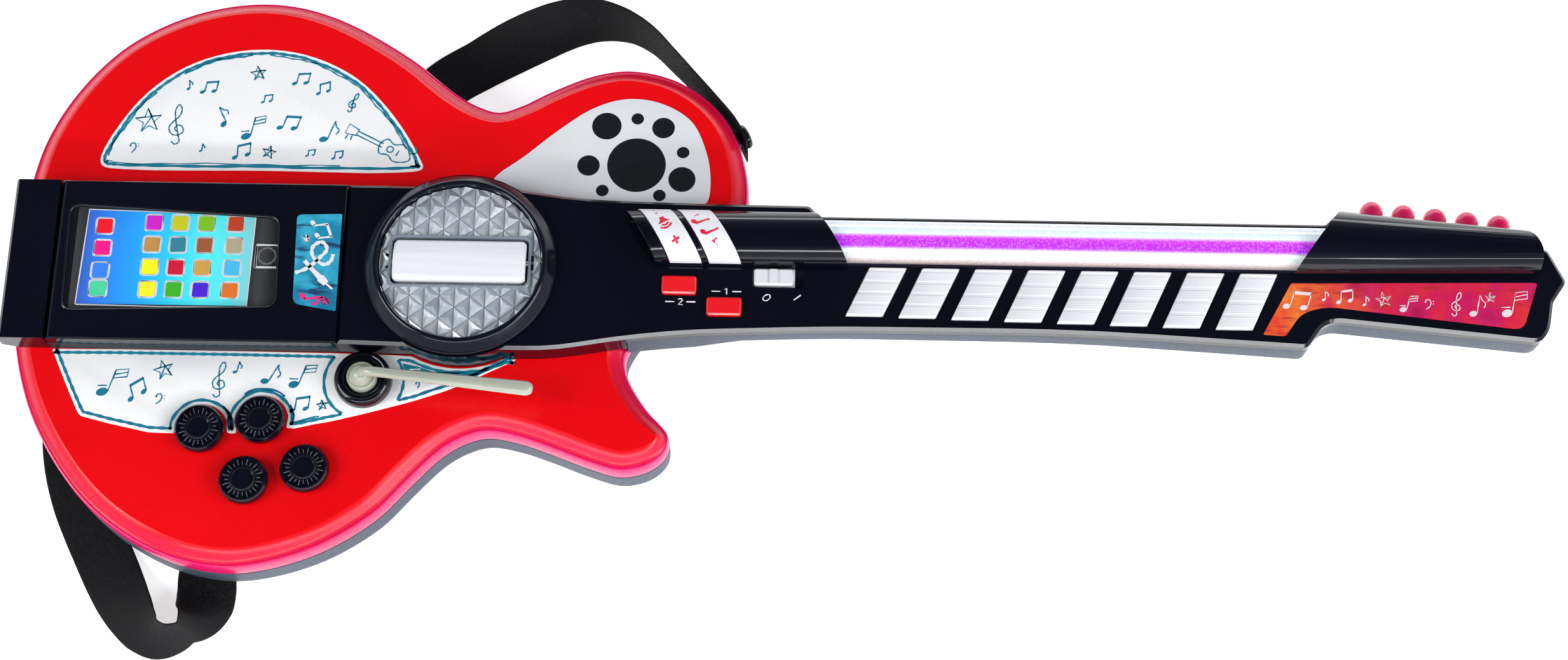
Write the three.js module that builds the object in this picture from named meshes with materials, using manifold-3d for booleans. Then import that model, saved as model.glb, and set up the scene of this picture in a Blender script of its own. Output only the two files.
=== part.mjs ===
// Toy electric guitar with a phone dock, a strum disc, note keys and a light tube, lying on its back.
// Millimetres. +X runs along the neck, +Y points to the upper horn and +Z comes out of the front.
// The origin lies on the surface that the guitar rests on, straight below the middle of the strum disc.
import * as THREE from 'three';
import { mergeVertices } from 'three/addons/utils/BufferGeometryUtils.js';
import Module from 'manifold-3d';

const wasm = await Module();
wasm.setup();

// ---------- Driving dimensions ----------

const GAP = 0.3; // between pieces that touch
const SLIDE = 0.5; // around a button in its hole
const WALL = 2.4; // of the moulded shells

// Heights above the resting surface.
const BACK = 3; // flat back of the body, on its rest pads
const BODY_SEAM = 24; // between the grey back shell and the red front shell
const BODY_EDGE = 35; // where the side wall turns into the bevel
const BODY_TOP = 42; // flat front of the body
const NECK_SEAM = 52; // between the neck's grey back and black front
const FACE = 58; // flat black front of the dock, neck and headstock
const DECK = BODY_TOP + GAP; // what stands on the body starts here
const SKIN = FACE - 2.4; // underside of the black face

const LENGTH_LEFT = -244; // tail end of the dock
const HINGE_SEAM = -219.5; // between the end cap and the lid
const LID_SEAM = -63.5; // between the lid and the neck shell
const DOCK_LOW = -45.5; // lower side of the dock
const DOCK_HIGH = 46; // upper side of the dock

const RING_RADIUS = 51.5;
const DISC_RADIUS = 43.2;
const DISC_TOP = 64.6;

const TUBE_Y = 17.1;
const TUBE_RADIUS = 13.5;
const HOUSING_RADIUS = 15.6;
const TUBE_START = 182;
const TUBE_END = 486;

const KEY_COUNT = 8;
const KEY_PITCH = 28.2;
const KEY_WIDTH = 20.6;
const KEY_FIRST = 206.5; // lower left corner of the first key
const KEY_SLANT = 0.46; // the keys lean towards the headstock
const KEY_HEAD = 2.2; // upper end of every key, beside the tube
const KEY_FOOT = -25.6; // lower end of the first key
const KEY_FOOT_DROP = 0.6; // each key is this much longer than the one before
const CONTROL_SLANT = -0.6; // the volume and mode buttons lean to the dock

const TUNER_COUNT = 5;
const TUNER_PITCH = 17.2;
const TUNER_FIRST = 493.5;
const TUNER_RADIUS = 6.4;
const TUNER_Z = 49.6;
const HEAD_SLOPE = -0.1; // the upper edge of the headstock falls towards the tip

const STRAP_WIDTH = 31;
const STRAP_THICKNESS = 1.3;

// ---------- Colours ----------

const plastic = (color, roughness = 0.3) => new THREE.MeshStandardMaterial({ color, roughness, metalness: 0 });
const RED = plastic(0xe01020, 0.35);
const GREY = plastic(0x6d7580, 0.45);
const BLACK = plastic(0x0b0c10, 0.12);
const DULL_BLACK = plastic(0x17181c, 0.5);
const WHITE = plastic(0xe9e9ee, 0.35);
const PALE = plastic(0xd4d6dc, 0.4);
const BUTTON_RED = plastic(0xf01828, 0.25);
const TUNER_RED = plastic(0xc81f4e, 0.3);
const SILVER = plastic(0xb9bdc2, 0.2);
const CLEAR = new THREE.MeshStandardMaterial({ color: 0xdfe4e6, roughness: 0.05, transparent: true, opacity: 0.4 });
const GLOW = plastic(0xc3c9b4, 0.25);
const TEAL = plastic(0x1f7f9c, 0.45);
const PRINT = plastic(0xd23a48, 0.45);
const CARD = plastic(0x2a6fd0, 0.5);
const BOARD = plastic(0x1c6b3a, 0.6);
const FILM = new THREE.MeshStandardMaterial({ color: 0xc98ff0, roughness: 0.15, metalness: 0.6 });
const STEEL = new THREE.MeshStandardMaterial({ color: 0x9a9da3, roughness: 0.35, metalness: 1 });
const WEBBING = plastic(0x101114, 0.9);

// ---------- Outlines ----------

const at = (x, y) => new THREE.Vector2(x, y);

// The same outline, running anticlockwise.
function anticlockwise(outline) {
  return THREE.ShapeUtils.isClockWise(outline) ? outline.slice().reverse() : outline;
}

// A closed curve through a few points.
function smooth(points, steps = 3) {
  const curve = new THREE.CatmullRomCurve3(points.map(([x, y]) => new THREE.Vector3(x, y, 0)), true, 'centripetal');
  const outline = curve.getPoints(points.length * steps).slice(0, -1);
  return anticlockwise(outline.map((p) => at(p.x, p.y)));
}

// A polygon of [x, y, cut] corners. Each corner is rounded by a curve that starts and ends `cut` from it.
function rounded(corners, steps = 4) {
  const outline = [];
  corners.forEach(([x, y, cut = 0], i) => {
    const corner = at(x, y);
    const [before, after] = [corners.at(i - 1), corners[(i + 1) % corners.length]].map(([a, b]) => at(a, b));
    if (cut === 0) {
      outline.push(corner);
      return;
    }
    const start = corner.clone().add(before.sub(corner).setLength(cut));
    const end = corner.clone().add(after.sub(corner).setLength(cut));
    outline.push(...new THREE.QuadraticBezierCurve(start, corner, end).getPoints(steps));
  });
  return anticlockwise(outline);
}

// A four-sided outline between two heights y0 and y1 that leans by `slant` in x for each mm in y.
function leaning(x, width, y0, y1, slant, cut = 1.2) {
  const top = x + slant * (y1 - y0);
  return rounded([[x, y0, cut], [x + width, y0, cut], [top + width, y1, cut], [top, y1, cut]], 3);
}

function box2(x0, x1, y0, y1, cut = 0) {
  return rounded([[x0, y0, cut], [x1, y0, cut], [x1, y1, cut], [x0, y1, cut]]);
}

// The outline moved inwards by `inset`, or outwards where it is negative.
function insetOutline(outline, inset) {
  return outline.map((point, i) => {
    const before = outline.at(i - 1);
    const after = outline[(i + 1) % outline.length];
    const a = point.clone().sub(before).normalize();
    const b = after.clone().sub(point).normalize();
    return at(-a.y - b.y, a.x + b.x).multiplyScalar(inset / (1 + a.dot(b))).add(point);
  });
}

// ---------- Solids ----------

// A closed body stacked from copies of one outline. Each level is [height, inset]; a height may be a
// function of the point.
function stack(outline, levels) {
  const count = outline.length;
  const positions = [];
  const index = [];
  const rings = levels.map(([height, inset]) => ({ height, points: insetOutline(outline, inset) }));
  for (const { height, points } of rings) {
    for (const p of points) {
      positions.push(p.x, p.y, typeof height === 'function' ? height(p.x, p.y) : height);
    }
  }
  for (let level = 0; level + 1 < levels.length; level += 1) {
    for (let i = 0; i < count; i += 1) {
      const [low, next] = [level * count + i, level * count + ((i + 1) % count)];
      index.push(low, next, next + count, low, next + count, low + count);
    }
  }
  const top = (levels.length - 1) * count;
  for (const [a, b, c] of THREE.ShapeUtils.triangulateShape(outline, [])) {
    index.push(c, b, a);
    index.push(top + a, top + b, top + c);
  }
  const geometry = new THREE.BufferGeometry();
  geometry.setAttribute('position', new THREE.Float32BufferAttribute(positions, 3));
  geometry.setIndex(index);
  return geometry;
}

const prism = (outline, z0, z1) => stack(outline, [[z0, 0], [z1, 0]]);

function solid(geometry) {
  const bare = new THREE.BufferGeometry();
  bare.setAttribute('position', geometry.getAttribute('position'));
  bare.setIndex(geometry.index);
  const merged = mergeVertices(bare, 1e-4);
  const corners = Array.from(merged.index.array);
  const triangles = [];
  for (let i = 0; i < corners.length; i += 3) {
    const [a, b, c] = corners.slice(i, i + 3);
    if (a !== b && b !== c && c !== a) {
      triangles.push(a, b, c);
    }
  }
  return new wasm.Manifold(new wasm.Mesh({
    numProp: 3,
    vertProperties: merged.getAttribute('position').array,
    triVerts: new Uint32Array(triangles),
  }));
}

const join = (first, ...others) => others.reduce((sum, g) => sum.add(solid(g)), solid(first));
const cut = (from, ...tools) => tools.reduce((rest, g) => rest.subtract(solid(g)), from);

function meshOf(name, shape, material, place = [0, 0, 0]) {
  let geometry = shape;
  if (!shape.isBufferGeometry) {
    const { vertProperties, triVerts } = shape.getMesh();
    geometry = new THREE.BufferGeometry();
    geometry.setAttribute('position', new THREE.BufferAttribute(vertProperties, 3));
    geometry.setIndex(new THREE.BufferAttribute(triVerts, 1));
  }
  geometry.computeVertexNormals();
  const mesh = new THREE.Mesh(geometry, material);
  mesh.name = name;
  mesh.position.set(...place);
  return mesh;
}

// A round bar that stands along Z.
function rod(radius, z0, z1, x = 0, y = 0, sides = 24, topRadius = radius) {
  const bar = new THREE.CylinderGeometry(topRadius, radius, z1 - z0, sides);
  return bar.rotateX(Math.PI / 2).translate(x, y, (z0 + z1) / 2);
}

// A round bar along X.
function rodX(radius, x0, x1, y, z, sides = 32) {
  return new THREE.CylinderGeometry(radius, radius, x1 - x0, sides).rotateZ(Math.PI / 2)
    .translate((x0 + x1) / 2, y, z);
}

// A round bar along Y.
function rodY(radius, y0, y1, x, z, sides = 16) {
  return new THREE.CylinderGeometry(radius, radius, y1 - y0, sides).translate(x, (y0 + y1) / 2, z);
}

function block(x0, x1, y0, y1, z0, z1) {
  return new THREE.BoxGeometry(x1 - x0, y1 - y0, z1 - z0).translate((x0 + x1) / 2, (y0 + y1) / 2, (z0 + z1) / 2);
}

// A turned body about Z, from [radius, height] points that run anticlockwise with the radius across. A
// profile that does not start on the axis makes a ring.
function turned(profile, sides = 32) {
  const points = profile.map(([radius, height]) => at(radius, height));
  if (profile[0][0] > 0) {
    points.push(points[0].clone());
  }
  return new THREE.LatheGeometry(points, sides).rotateX(Math.PI / 2);
}

// An outline in X and Z, drawn out along Y.
function sideProfile(points, y0, y1) {
  const shape = new THREE.Shape(points.map(([x, z]) => at(x, z)));
  return new THREE.ExtrudeGeometry(shape, { depth: y1 - y0, bevelEnabled: false })
    .rotateX(Math.PI / 2).translate(0, y1, 0);
}

// An outline in Y and Z, drawn out along X.
function endProfile(points, x0, x1, steps = 1) {
  const shape = new THREE.Shape(points.map(([y, z]) => at(y, z)));
  return new THREE.ExtrudeGeometry(shape, { depth: x1 - x0, bevelEnabled: false, steps })
    .applyMatrix4(new THREE.Matrix4().set(0, 0, 1, x0, 1, 0, 0, 0, 0, 1, 0, 0, 0, 0, 0, 1));
}

// ---------- The body ----------

const bodyOutline = smooth([
  [153.3, 47], [150.6, 74.6], [143.6, 93.6], [131, 109.6], [110.5, 123], [84, 128.3], [60.5, 123.3],
  [38.5, 112.9], [13.1, 101.4], [-10.6, 111.7], [-33.2, 130.2], [-68.8, 152.4], [-99.6, 164],
  [-130, 166.2], [-165.4, 158], [-199.2, 138.1], [-224.3, 107.9], [-239, 74.8], [-245, 35],
  [-245.6, 0], [-241.3, -42], [-228, -82], [-203, -120], [-178.1, -142.7], [-145.6, -159.3],
  [-113, -164.2], [-78, -156], [-55, -144.3], [-37, -130.4], [-7.4, -98.2], [16, -87.3], [50.5, -95.7],
  [86.7, -107.7], [104.1, -103.9], [112.6, -95.4], [113.2, -86], [103.4, -74.6], [91.6, -56.4],
  [89.2, -43], [96, -29], [110, -8], [142, 18],
], 2);

const REST_PADS = [[0, 0], [-196, 72], [-183, -66], [78, 92], [72, -82], [-30, -84]];
const KNOBS = [[-134.7, -90.4], [-102.9, -84.9], [-108.9, -118.4], [-77.4, -111.4]];
const KNOB_RADIUS = 13;
const SPEAKER = [91.3, 67];
const SOCKET = [-50, -61.5];
const SOCKET_RADIUS = 15.4;
const SPEAKER_HOLES = [
  [91.3, 67, 16.2], [74, 90.3, 8.2], [91, 95, 3.5], [105.5, 89.7, 6.3], [116.8, 75, 3.5],
  [116.6, 58.8, 7.5], [64.8, 66.3, 6.2], [73, 51.4, 3.5], [104.5, 49, 3.5],
];

const upperPlateOutline = smooth([
  [-203, 61.6], [-204.5, 66], [-197, 85], [-181, 108], [-158, 125], [-128, 133.5], [-98, 131.5],
  [-68, 118], [-45, 95], [-28.5, 69], [-26.5, 63], [-31, 61], [-115, 60], [-197, 60],
]);

const grilleOutline = smooth([
  [13, 57], [30, 72], [48, 88], [66, 101], [84, 107], [103, 105], [120.6, 94.4], [129, 77.6],
  [132.3, 61], [131, 46], [127, 43], [70, 44], [35, 49], [17, 54.5],
]);

// Part of a circle, between two angles in degrees.
function arcPoints([x, y], radius, from, to, steps) {
  return Array.from({ length: steps + 1 }, (_, i) => {
    const angle = THREE.MathUtils.degToRad(THREE.MathUtils.lerp(from, to, i / steps));
    return [x + radius * Math.cos(angle), y + radius * Math.sin(angle)];
  });
}

const aroundKnob = (knob, from, to) => arcPoints(knob, KNOB_RADIUS + 1.3, from, to, 8);

// The lower plate runs along the dock, round two knobs, round the whammy socket to a long tip,
// and back along the foot of the strum ring.
const ringFoot = arcPoints([0, 0], RING_RADIUS + 1.9, -62.5, -118, 8);
const pickguardOutline = rounded([
  [-218.5, -45.9, 1.2], [-200, -83.6, 3], ...aroundKnob(KNOBS[0], 188, -4), ...aroundKnob(KNOBS[1], 207, -14),
  [-68.5, -85, 6], [-48, -79.6, 8], [-24, -72.6, 6], [-3.8, -65.5, 8], [11.5, -57.8, 6], [31, -47.8, 1.2],
  ...ringFoot, [-26.5, -46.9], [-63.5, -45.9],
], 3);

function bodyShells() {
  const front = solid(stack(bodyOutline, [
    [BODY_SEAM + GAP, 0], [BODY_EDGE, 0.4], [37.8, 2], [40.2, 4.8], [41.6, 7.6], [BODY_TOP, 10],
  ]));
  const hollow = stack(bodyOutline, [
    [BODY_SEAM - 1, WALL], [BODY_EDGE - 1, WALL + 0.4], [38.2, 7], [BODY_TOP - WALL, 10.6],
  ]);
  const pocket = (outline, depth) => prism(insetOutline(outline, -GAP), BODY_TOP - depth, BODY_TOP + 5);
  const shaftHoles = KNOBS.map(([x, y]) => rod(3.4, 30, 60, x, y, 16));
  const frontShell = cut(
    front,
    hollow,
    pocket(upperPlateOutline, 1),
    pocket(grilleOutline, 1),
    pocket(pickguardOutline, 1),
    rod(24, 30, 60, ...SPEAKER, 32),
    rod(34, 30, 60, 0, 0, 32),
    rod(9, 30, 60, ...SOCKET, 24),
    strapPost(GAP, -20, 0),
    ...shaftHoles,
  );

  const back = solid(stack(bodyOutline, [[BACK, 6], [4, 2.6], [6.2, 0.7], [9, 0], [BODY_SEAM, 0]]));
  const tray = stack(bodyOutline, [[BACK + WALL, 8], [7.5, 4], [10, WALL], [BODY_SEAM + 1, WALL]]);
  let backShell = cut(back, tray);
  for (const [x, y] of REST_PADS) {
    backShell = backShell.add(solid(rod(8.5, 0, BACK + 1, x, y, 20, 10)));
  }
  for (const [x, y] of BOARD_POSTS) {
    backShell = backShell.add(solid(rod(3, BACK + 1, BOARD_Z - GAP, x, y, 10)));
  }
  const recessFloor = solid(strapRecess(2)).intersect(solid(prism(insetOutline(bodyOutline, 1.5), 0, 20)));
  backShell = cut(
    backShell.add(solid(block(...batteryBay(2), BACK + 1, 22.6))).add(recessFloor),
    block(...batteryBay(0), -1, 20.8),
    strapRecess(),
    rod(2.8, -1, 12, ...TAIL_BUTTON, 12),
    strapPost(GAP, -20, 0),
  );
  return [
    meshOf('body_front_shell', frontShell, RED),
    meshOf('body_back_shell', backShell, GREY),
  ];
}

// ---------- Inside the body ----------

const BOARD_Z = 22;
const BOARD_POSTS = [[-48, -34], [48, -34], [48, 34], [-48, 34]];
const BATTERIES = { x: -150, y: 68, length: 50.5, radius: 7.1, pitch: 15, count: 3 };

// The x and y limits of the battery bay, with walls of the given thickness outside it.
function batteryBay(wall) {
  const { x, y, length, pitch, count } = BATTERIES;
  const [halfX, halfY] = [length / 2 + 2 + wall, (pitch * count) / 2 + 0.8 + wall];
  return [x - halfX, x + halfX, y - halfY, y + halfY];
}

function electronics() {
  const board = join(block(-54, 54, -40, 40, BOARD_Z, BOARD_Z + 1.6), block(-30, -12, -12, 6, BOARD_Z + 1, BOARD_Z + 4));
  const driver = turned([
    [0, 17], [12.5, 17], [12.5, 25], [10, 26], [10, 28], [25.5, 36.6], [28, 36.6], [28, 38.6],
    [24.6, 38.6], [14, 31.5], [6, 33], [0, 34],
  ]).translate(...SPEAKER, 0);
  const parts = [
    meshOf('main_circuit_board', board, BOARD),
    meshOf('speaker_driver', driver, DULL_BLACK),
  ];
  const { x, y, length, radius, pitch, count } = BATTERIES;
  for (let i = 0; i < count; i += 1) {
    const middle = y + (i - (count - 1) / 2) * pitch;
    const flip = i % 2 ? -1 : 1;
    const cell = join(
      rodX(radius, -length / 2, length / 2 - 1.2, 0, 0, 20),
      rodX(2.7, length / 2 - 2, length / 2, 0, 0, 12),
    );
    const mesh = meshOf(`battery_${i + 1}`, cell, STEEL, [x, middle, 13]);
    mesh.rotation.z = flip > 0 ? 0 : Math.PI;
    parts.push(mesh);
  }
  const [x0, x1, y0, y1] = batteryBay(-GAP - 0.1);
  const door = cut(
    join(prism(box2(x0, x1, y0, y1, 1), BACK, BACK + 2)),
    ...[0, 1, 2, 3, 4].map((i) => block(x0 + 8, x0 + 16, y + (i - 2) * 4 - 0.7, y + (i - 2) * 4 + 0.7, 2, BACK + 0.7)),
  );
  parts.push(meshOf('battery_door', door, GREY));
  return parts;
}

// ---------- The plates, the speaker grille and the knobs on the body ----------

function bodyPlates() {
  const grille = cut(
    join(prism(grilleOutline, BODY_TOP - 0.7, BODY_TOP + 0.6)),
    ...SPEAKER_HOLES.map(([x, y, radius]) => rod(radius, 30, 60, x, y, radius > 5 ? 28 : 16)),
  );
  const guard = cut(
    join(prism(pickguardOutline, BODY_TOP - 0.7, BODY_TOP + 0.5)),
    rod(10, 30, 60, ...SOCKET, 24),
  );
  return [
    meshOf('upper_plate', prism(upperPlateOutline, BODY_TOP - 0.7, BODY_TOP + 0.5), WHITE),
    meshOf('speaker_grille', grille, PALE),
    meshOf('pickguard', guard, WHITE),
  ];
}

function knobs() {
  const profile = [
    [0, -8], [3, -8], [3, 1], [KNOB_RADIUS, 1], [KNOB_RADIUS, 4], [11.8, 7.6], [8, 8.2], [6.2, 7.2],
    [5.4, 8.8], [2.8, 9.6], [0, 9.8],
  ];
  return KNOBS.map(([x, y], i) => meshOf(`knob_${i + 1}`, turned(profile, 24), BLACK, [x, y, BODY_TOP]));
}

// ---------- The whammy bar ----------

const HUB_RADIUS = 8;
const WHAMMY_TURN = Math.atan2(-8.9, 88.7); // the bar points to the headstock, slightly down
const WHAMMY_PIVOT_Z = 57;

function whammy() {
  const socket = turned([
    [9.2, 0.9], [SOCKET_RADIUS, 0.9], [SOCKET_RADIUS, 4.5], [14.6, 7.2], [13.2, 8.2], [11.6, 7.4],
    [9.8, 3.6], [9.2, 2.4],
  ], 32);
  const hub = cut(
    join(
      turned([[0, -7], [8.4, -7], [8.4, -3], [HUB_RADIUS - 0.6, -3], [HUB_RADIUS - 0.6, 9], [HUB_RADIUS, 9.6],
        [HUB_RADIUS, 12.6], [0, 12.6]], 28),
      block(-4.5, 4.5, -HUB_RADIUS + 0.7, -3.9, 11, 18),
      block(-4.5, 4.5, 3.9, HUB_RADIUS - 0.7, 11, 18),
    ),
    rodY(1.5, -10, 10, 0, WHAMMY_PIVOT_Z - BODY_TOP, 12),
  );
  const pivot = WHAMMY_PIVOT_Z - BODY_TOP;
  const hubMesh = meshOf('whammy_hub', hub, GLOW, [...SOCKET, BODY_TOP]);
  hubMesh.rotation.z = WHAMMY_TURN;
  const arm = join(
    rod(2.7, 0.2, 89, 0, 0, 16, 4).rotateY(Math.PI / 2).translate(0, 0, 4.2),
    new THREE.SphereGeometry(4, 16, 8).rotateZ(Math.PI / 2).translate(89, 0, 4.2),
    block(-3.4, 12, -3.5, 3.5, -1.4, 3.4),
    rodY(1.3, -7, 7, 0, 0, 12),
  );
  const armMesh = meshOf('whammy_arm', arm, GLOW, [...SOCKET, BODY_TOP + pivot]);
  armMesh.rotation.z = WHAMMY_TURN;
  return [
    meshOf('whammy_socket', socket, BLACK, [...SOCKET, BODY_TOP]),
    hubMesh,
    armMesh,
  ];
}

// ---------- The phone dock ----------

const HINGE = { x: HINGE_SEAM + 4, z: FACE - 3.9, radius: 3.7, pin: 1 };
const HINGE_LUGS = [-37, 37];
const windowOutline = rounded([[-213, 31.5, 6], [-211.5, -29, 6], [-97.5, -25.5, 6], [-99.5, 25.8, 6]]);
const labelOutline = rounded([[-90.2, 27.8, 3], [-88.6, -23.5, 4], [-65.2, -27.6, 1], [-65.8, 28.6, 1]]);
const LID_BOTTOM = 50.3;

function dock() {
  const capProfile = [
    [LENGTH_LEFT + 9, DECK], [HINGE_SEAM - GAP, DECK], [HINGE_SEAM - GAP, FACE], [LENGTH_LEFT + 1.6, FACE],
    [LENGTH_LEFT, FACE - 1.6], [LENGTH_LEFT, 46.5],
  ];
  const capHollow = [
    [LENGTH_LEFT + 10, DECK - 1], [HINGE_SEAM - GAP - WALL, DECK - 1], [HINGE_SEAM - GAP - WALL, SKIN],
    [LENGTH_LEFT + 4, SKIN], [LENGTH_LEFT + WALL, 48],
  ];
  const cap = cut(
    join(sideProfile(capProfile, DOCK_LOW, DOCK_HIGH)),
    sideProfile(capHollow, DOCK_LOW + WALL, DOCK_HIGH - WALL),
  );

  const trayOutline = box2(HINGE_SEAM + 0.1, LID_SEAM - 0.1, DOCK_LOW, DOCK_HIGH);
  let tray = cut(
    join(prism(trayOutline, DECK, LID_BOTTOM - GAP)),
    block(HINGE_SEAM + 3, LID_SEAM - 3, DOCK_LOW + WALL, DOCK_HIGH - WALL, DECK + 2, 60),
  );
  for (const y of HINGE_LUGS) {
    const lug = join(
      block(HINGE.x - 1.4, HINGE.x + 1.4, y - 2.6, y + 2.6, DECK + 1, HINGE.z),
      rodY(2.3, y - 2.6, y + 2.6, HINGE.x, HINGE.z),
    );
    tray = tray.add(lug);
  }
  tray = cut(tray, rodY(HINGE.pin + 0.2, -42, 42, HINGE.x, HINGE.z));

  const lidSlab = solid(stack(box2(HINGE_SEAM, LID_SEAM - GAP, DOCK_LOW, DOCK_HIGH), [[LID_BOTTOM, 0], [57.2, 0], [FACE, 0.8]]));
  const nose = new THREE.Shape();
  nose.absarc(HINGE.x, HINGE.z, HINGE.radius + 0.2, Math.PI / 2, 1.5 * Math.PI);
  nose.lineTo(LID_SEAM + 5, HINGE.z - HINGE.radius - 0.2);
  nose.lineTo(LID_SEAM + 5, FACE + 1);
  nose.lineTo(HINGE.x, FACE + 1);
  const noseBar = new THREE.ExtrudeGeometry(nose, { depth: 120, bevelEnabled: false, curveSegments: 10 })
    .rotateX(Math.PI / 2).translate(0, 60, 0);
  let lid = lidSlab.intersect(solid(noseBar));
  lid = cut(
    lid,
    block(HINGE.x + 5, LID_SEAM - GAP - WALL, DOCK_LOW + WALL, DOCK_HIGH - WALL, 40, SKIN),
    prism(windowOutline, 40, 70),
    prism(insetOutline(labelOutline, -GAP), FACE - 1, 70),
    ...HINGE_LUGS.map((y) => block(HINGE_SEAM - 1, HINGE.x + 3, y - 3.1, y + 3.1, 40, HINGE.z + 2.8)),
    rodY(HINGE.pin + 0.1, -42, 42, HINGE.x, HINGE.z),
  );
  const pane = prism(insetOutline(windowOutline, GAP), FACE - 2.2, FACE - 0.8);
  return [
    meshOf('dock_end_cap', cap, BLACK),
    meshOf('phone_tray', tray, DULL_BLACK),
    meshOf('phone_lid', lid, BLACK),
    meshOf('lid_window', pane, CLEAR),
    meshOf('lid_hinge_pin', rodY(HINGE.pin, -41.5, 41.5, HINGE.x, HINGE.z), STEEL),
    meshOf('lid_label', prism(labelOutline, FACE - 0.7, FACE - 0.1), TEAL),
    meshOf('phone_card', prism(box2(-209, -96, -31, 33.5, 4), SKIN - 0.7, SKIN - 0.1), CARD),
  ];
}

// ---------- The neck and the headstock ----------

const headEdge = (x) => 39.3 + HEAD_SLOPE * (x - 474); // the upper edge of the headstock

const neckOutline = rounded([
  [LID_SEAM, DOCK_LOW], [20, -47.4], [50, -47.4, 14], [84, -41.2, 14], [120, -36.6, 20], [200, -33.4, 20],
  [330, -32.8, 40], [453, -39.2, 3], [462, -26, 4], [469.5, -23.8, 3.5], [578, -34, 5], [583.5, -26, 4],
  [586.5, -10.5, 1.5], [594.5, 1.2, 2.5], [585.8, 19.6, 2], [579.5, 20, 3], [573.5, headEdge(573.5), 6.5],
  [474, 39.3, 5], [467, 32, 2], [192, 32, 2], [187, 38.2, 2], [134, 38.4, 20], [60, 40, 20], [29, 45, 10],
  [12, DOCK_HIGH, 5], [LID_SEAM, DOCK_HIGH],
], 3);

const headLabelOutline = rounded([
  [446, -2.6, 1], [429.6, -32.2, 1], [441.5, -33, 2], [450.5, -20, 5], [463.5, -15.6, 7], [561, -26.3, 2],
  [569, -27, 5], [578.6, 0, 2],
], 3);

// How high the neck's back is: it steps down at the heel, and the headstock is deeper than the neck.
function neckBack(x) {
  if (x < 126) {
    return 30.5;
  }
  if (x < 152) {
    return 30.5 + (8 * (x - 126)) / 26;
  }
  return 38.5 - 4.5 * Math.min(1, Math.max(0, (x - 200) / 250));
}

// Where along the neck its profile needs a point.
const NECK_STATIONS = [105, 126, 139, 152, 200, 450];

// The neck's outline with points added at the stations, so that its back can bend there.
function withStations(outline) {
  return outline.flatMap((point, i) => {
    const next = outline[(i + 1) % outline.length];
    const between = NECK_STATIONS.filter((x) => (x - point.x) * (x - next.x) < -1);
    between.sort((a, b) => (a - b) * Math.sign(next.x - point.x));
    return [point, ...between.map((x) => point.clone().lerp(next, (x - point.x) / (next.x - point.x)))];
  });
}

function keyOutline(i, grow = 0) {
  const foot = KEY_FOOT - KEY_FOOT_DROP * i;
  const left = KEY_FIRST + KEY_PITCH * i - grow - KEY_SLANT * grow;
  return leaning(left, KEY_WIDTH + 2 * grow, foot - grow, KEY_HEAD + grow, KEY_SLANT);
}

// The x position of the lower left corner of the volume and mode buttons, at y = 2.
const ROUND_BUTTONS = { volume_button: 112.5, mode_button: 133.6 };
const ROUND_BUTTON_WIDTH = 17;
const BEAT_BUTTONS = { beat_button_1: [141.9, -21.9], beat_button_2: [117.6, -10] };
const BEAT_SIZE = [18.6, 10.2];
const SWITCH = { x0: 156.8, x1: 184.6, y0: -10, y1: 1.2, knob: 21, travel: 6 };

const beatOutline = ([x, y], grow) => box2(
  x - BEAT_SIZE[0] / 2 - grow,
  x + BEAT_SIZE[0] / 2 + grow,
  y - BEAT_SIZE[1] / 2 - grow,
  y + BEAT_SIZE[1] / 2 + grow,
  1.5 + grow,
);

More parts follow.
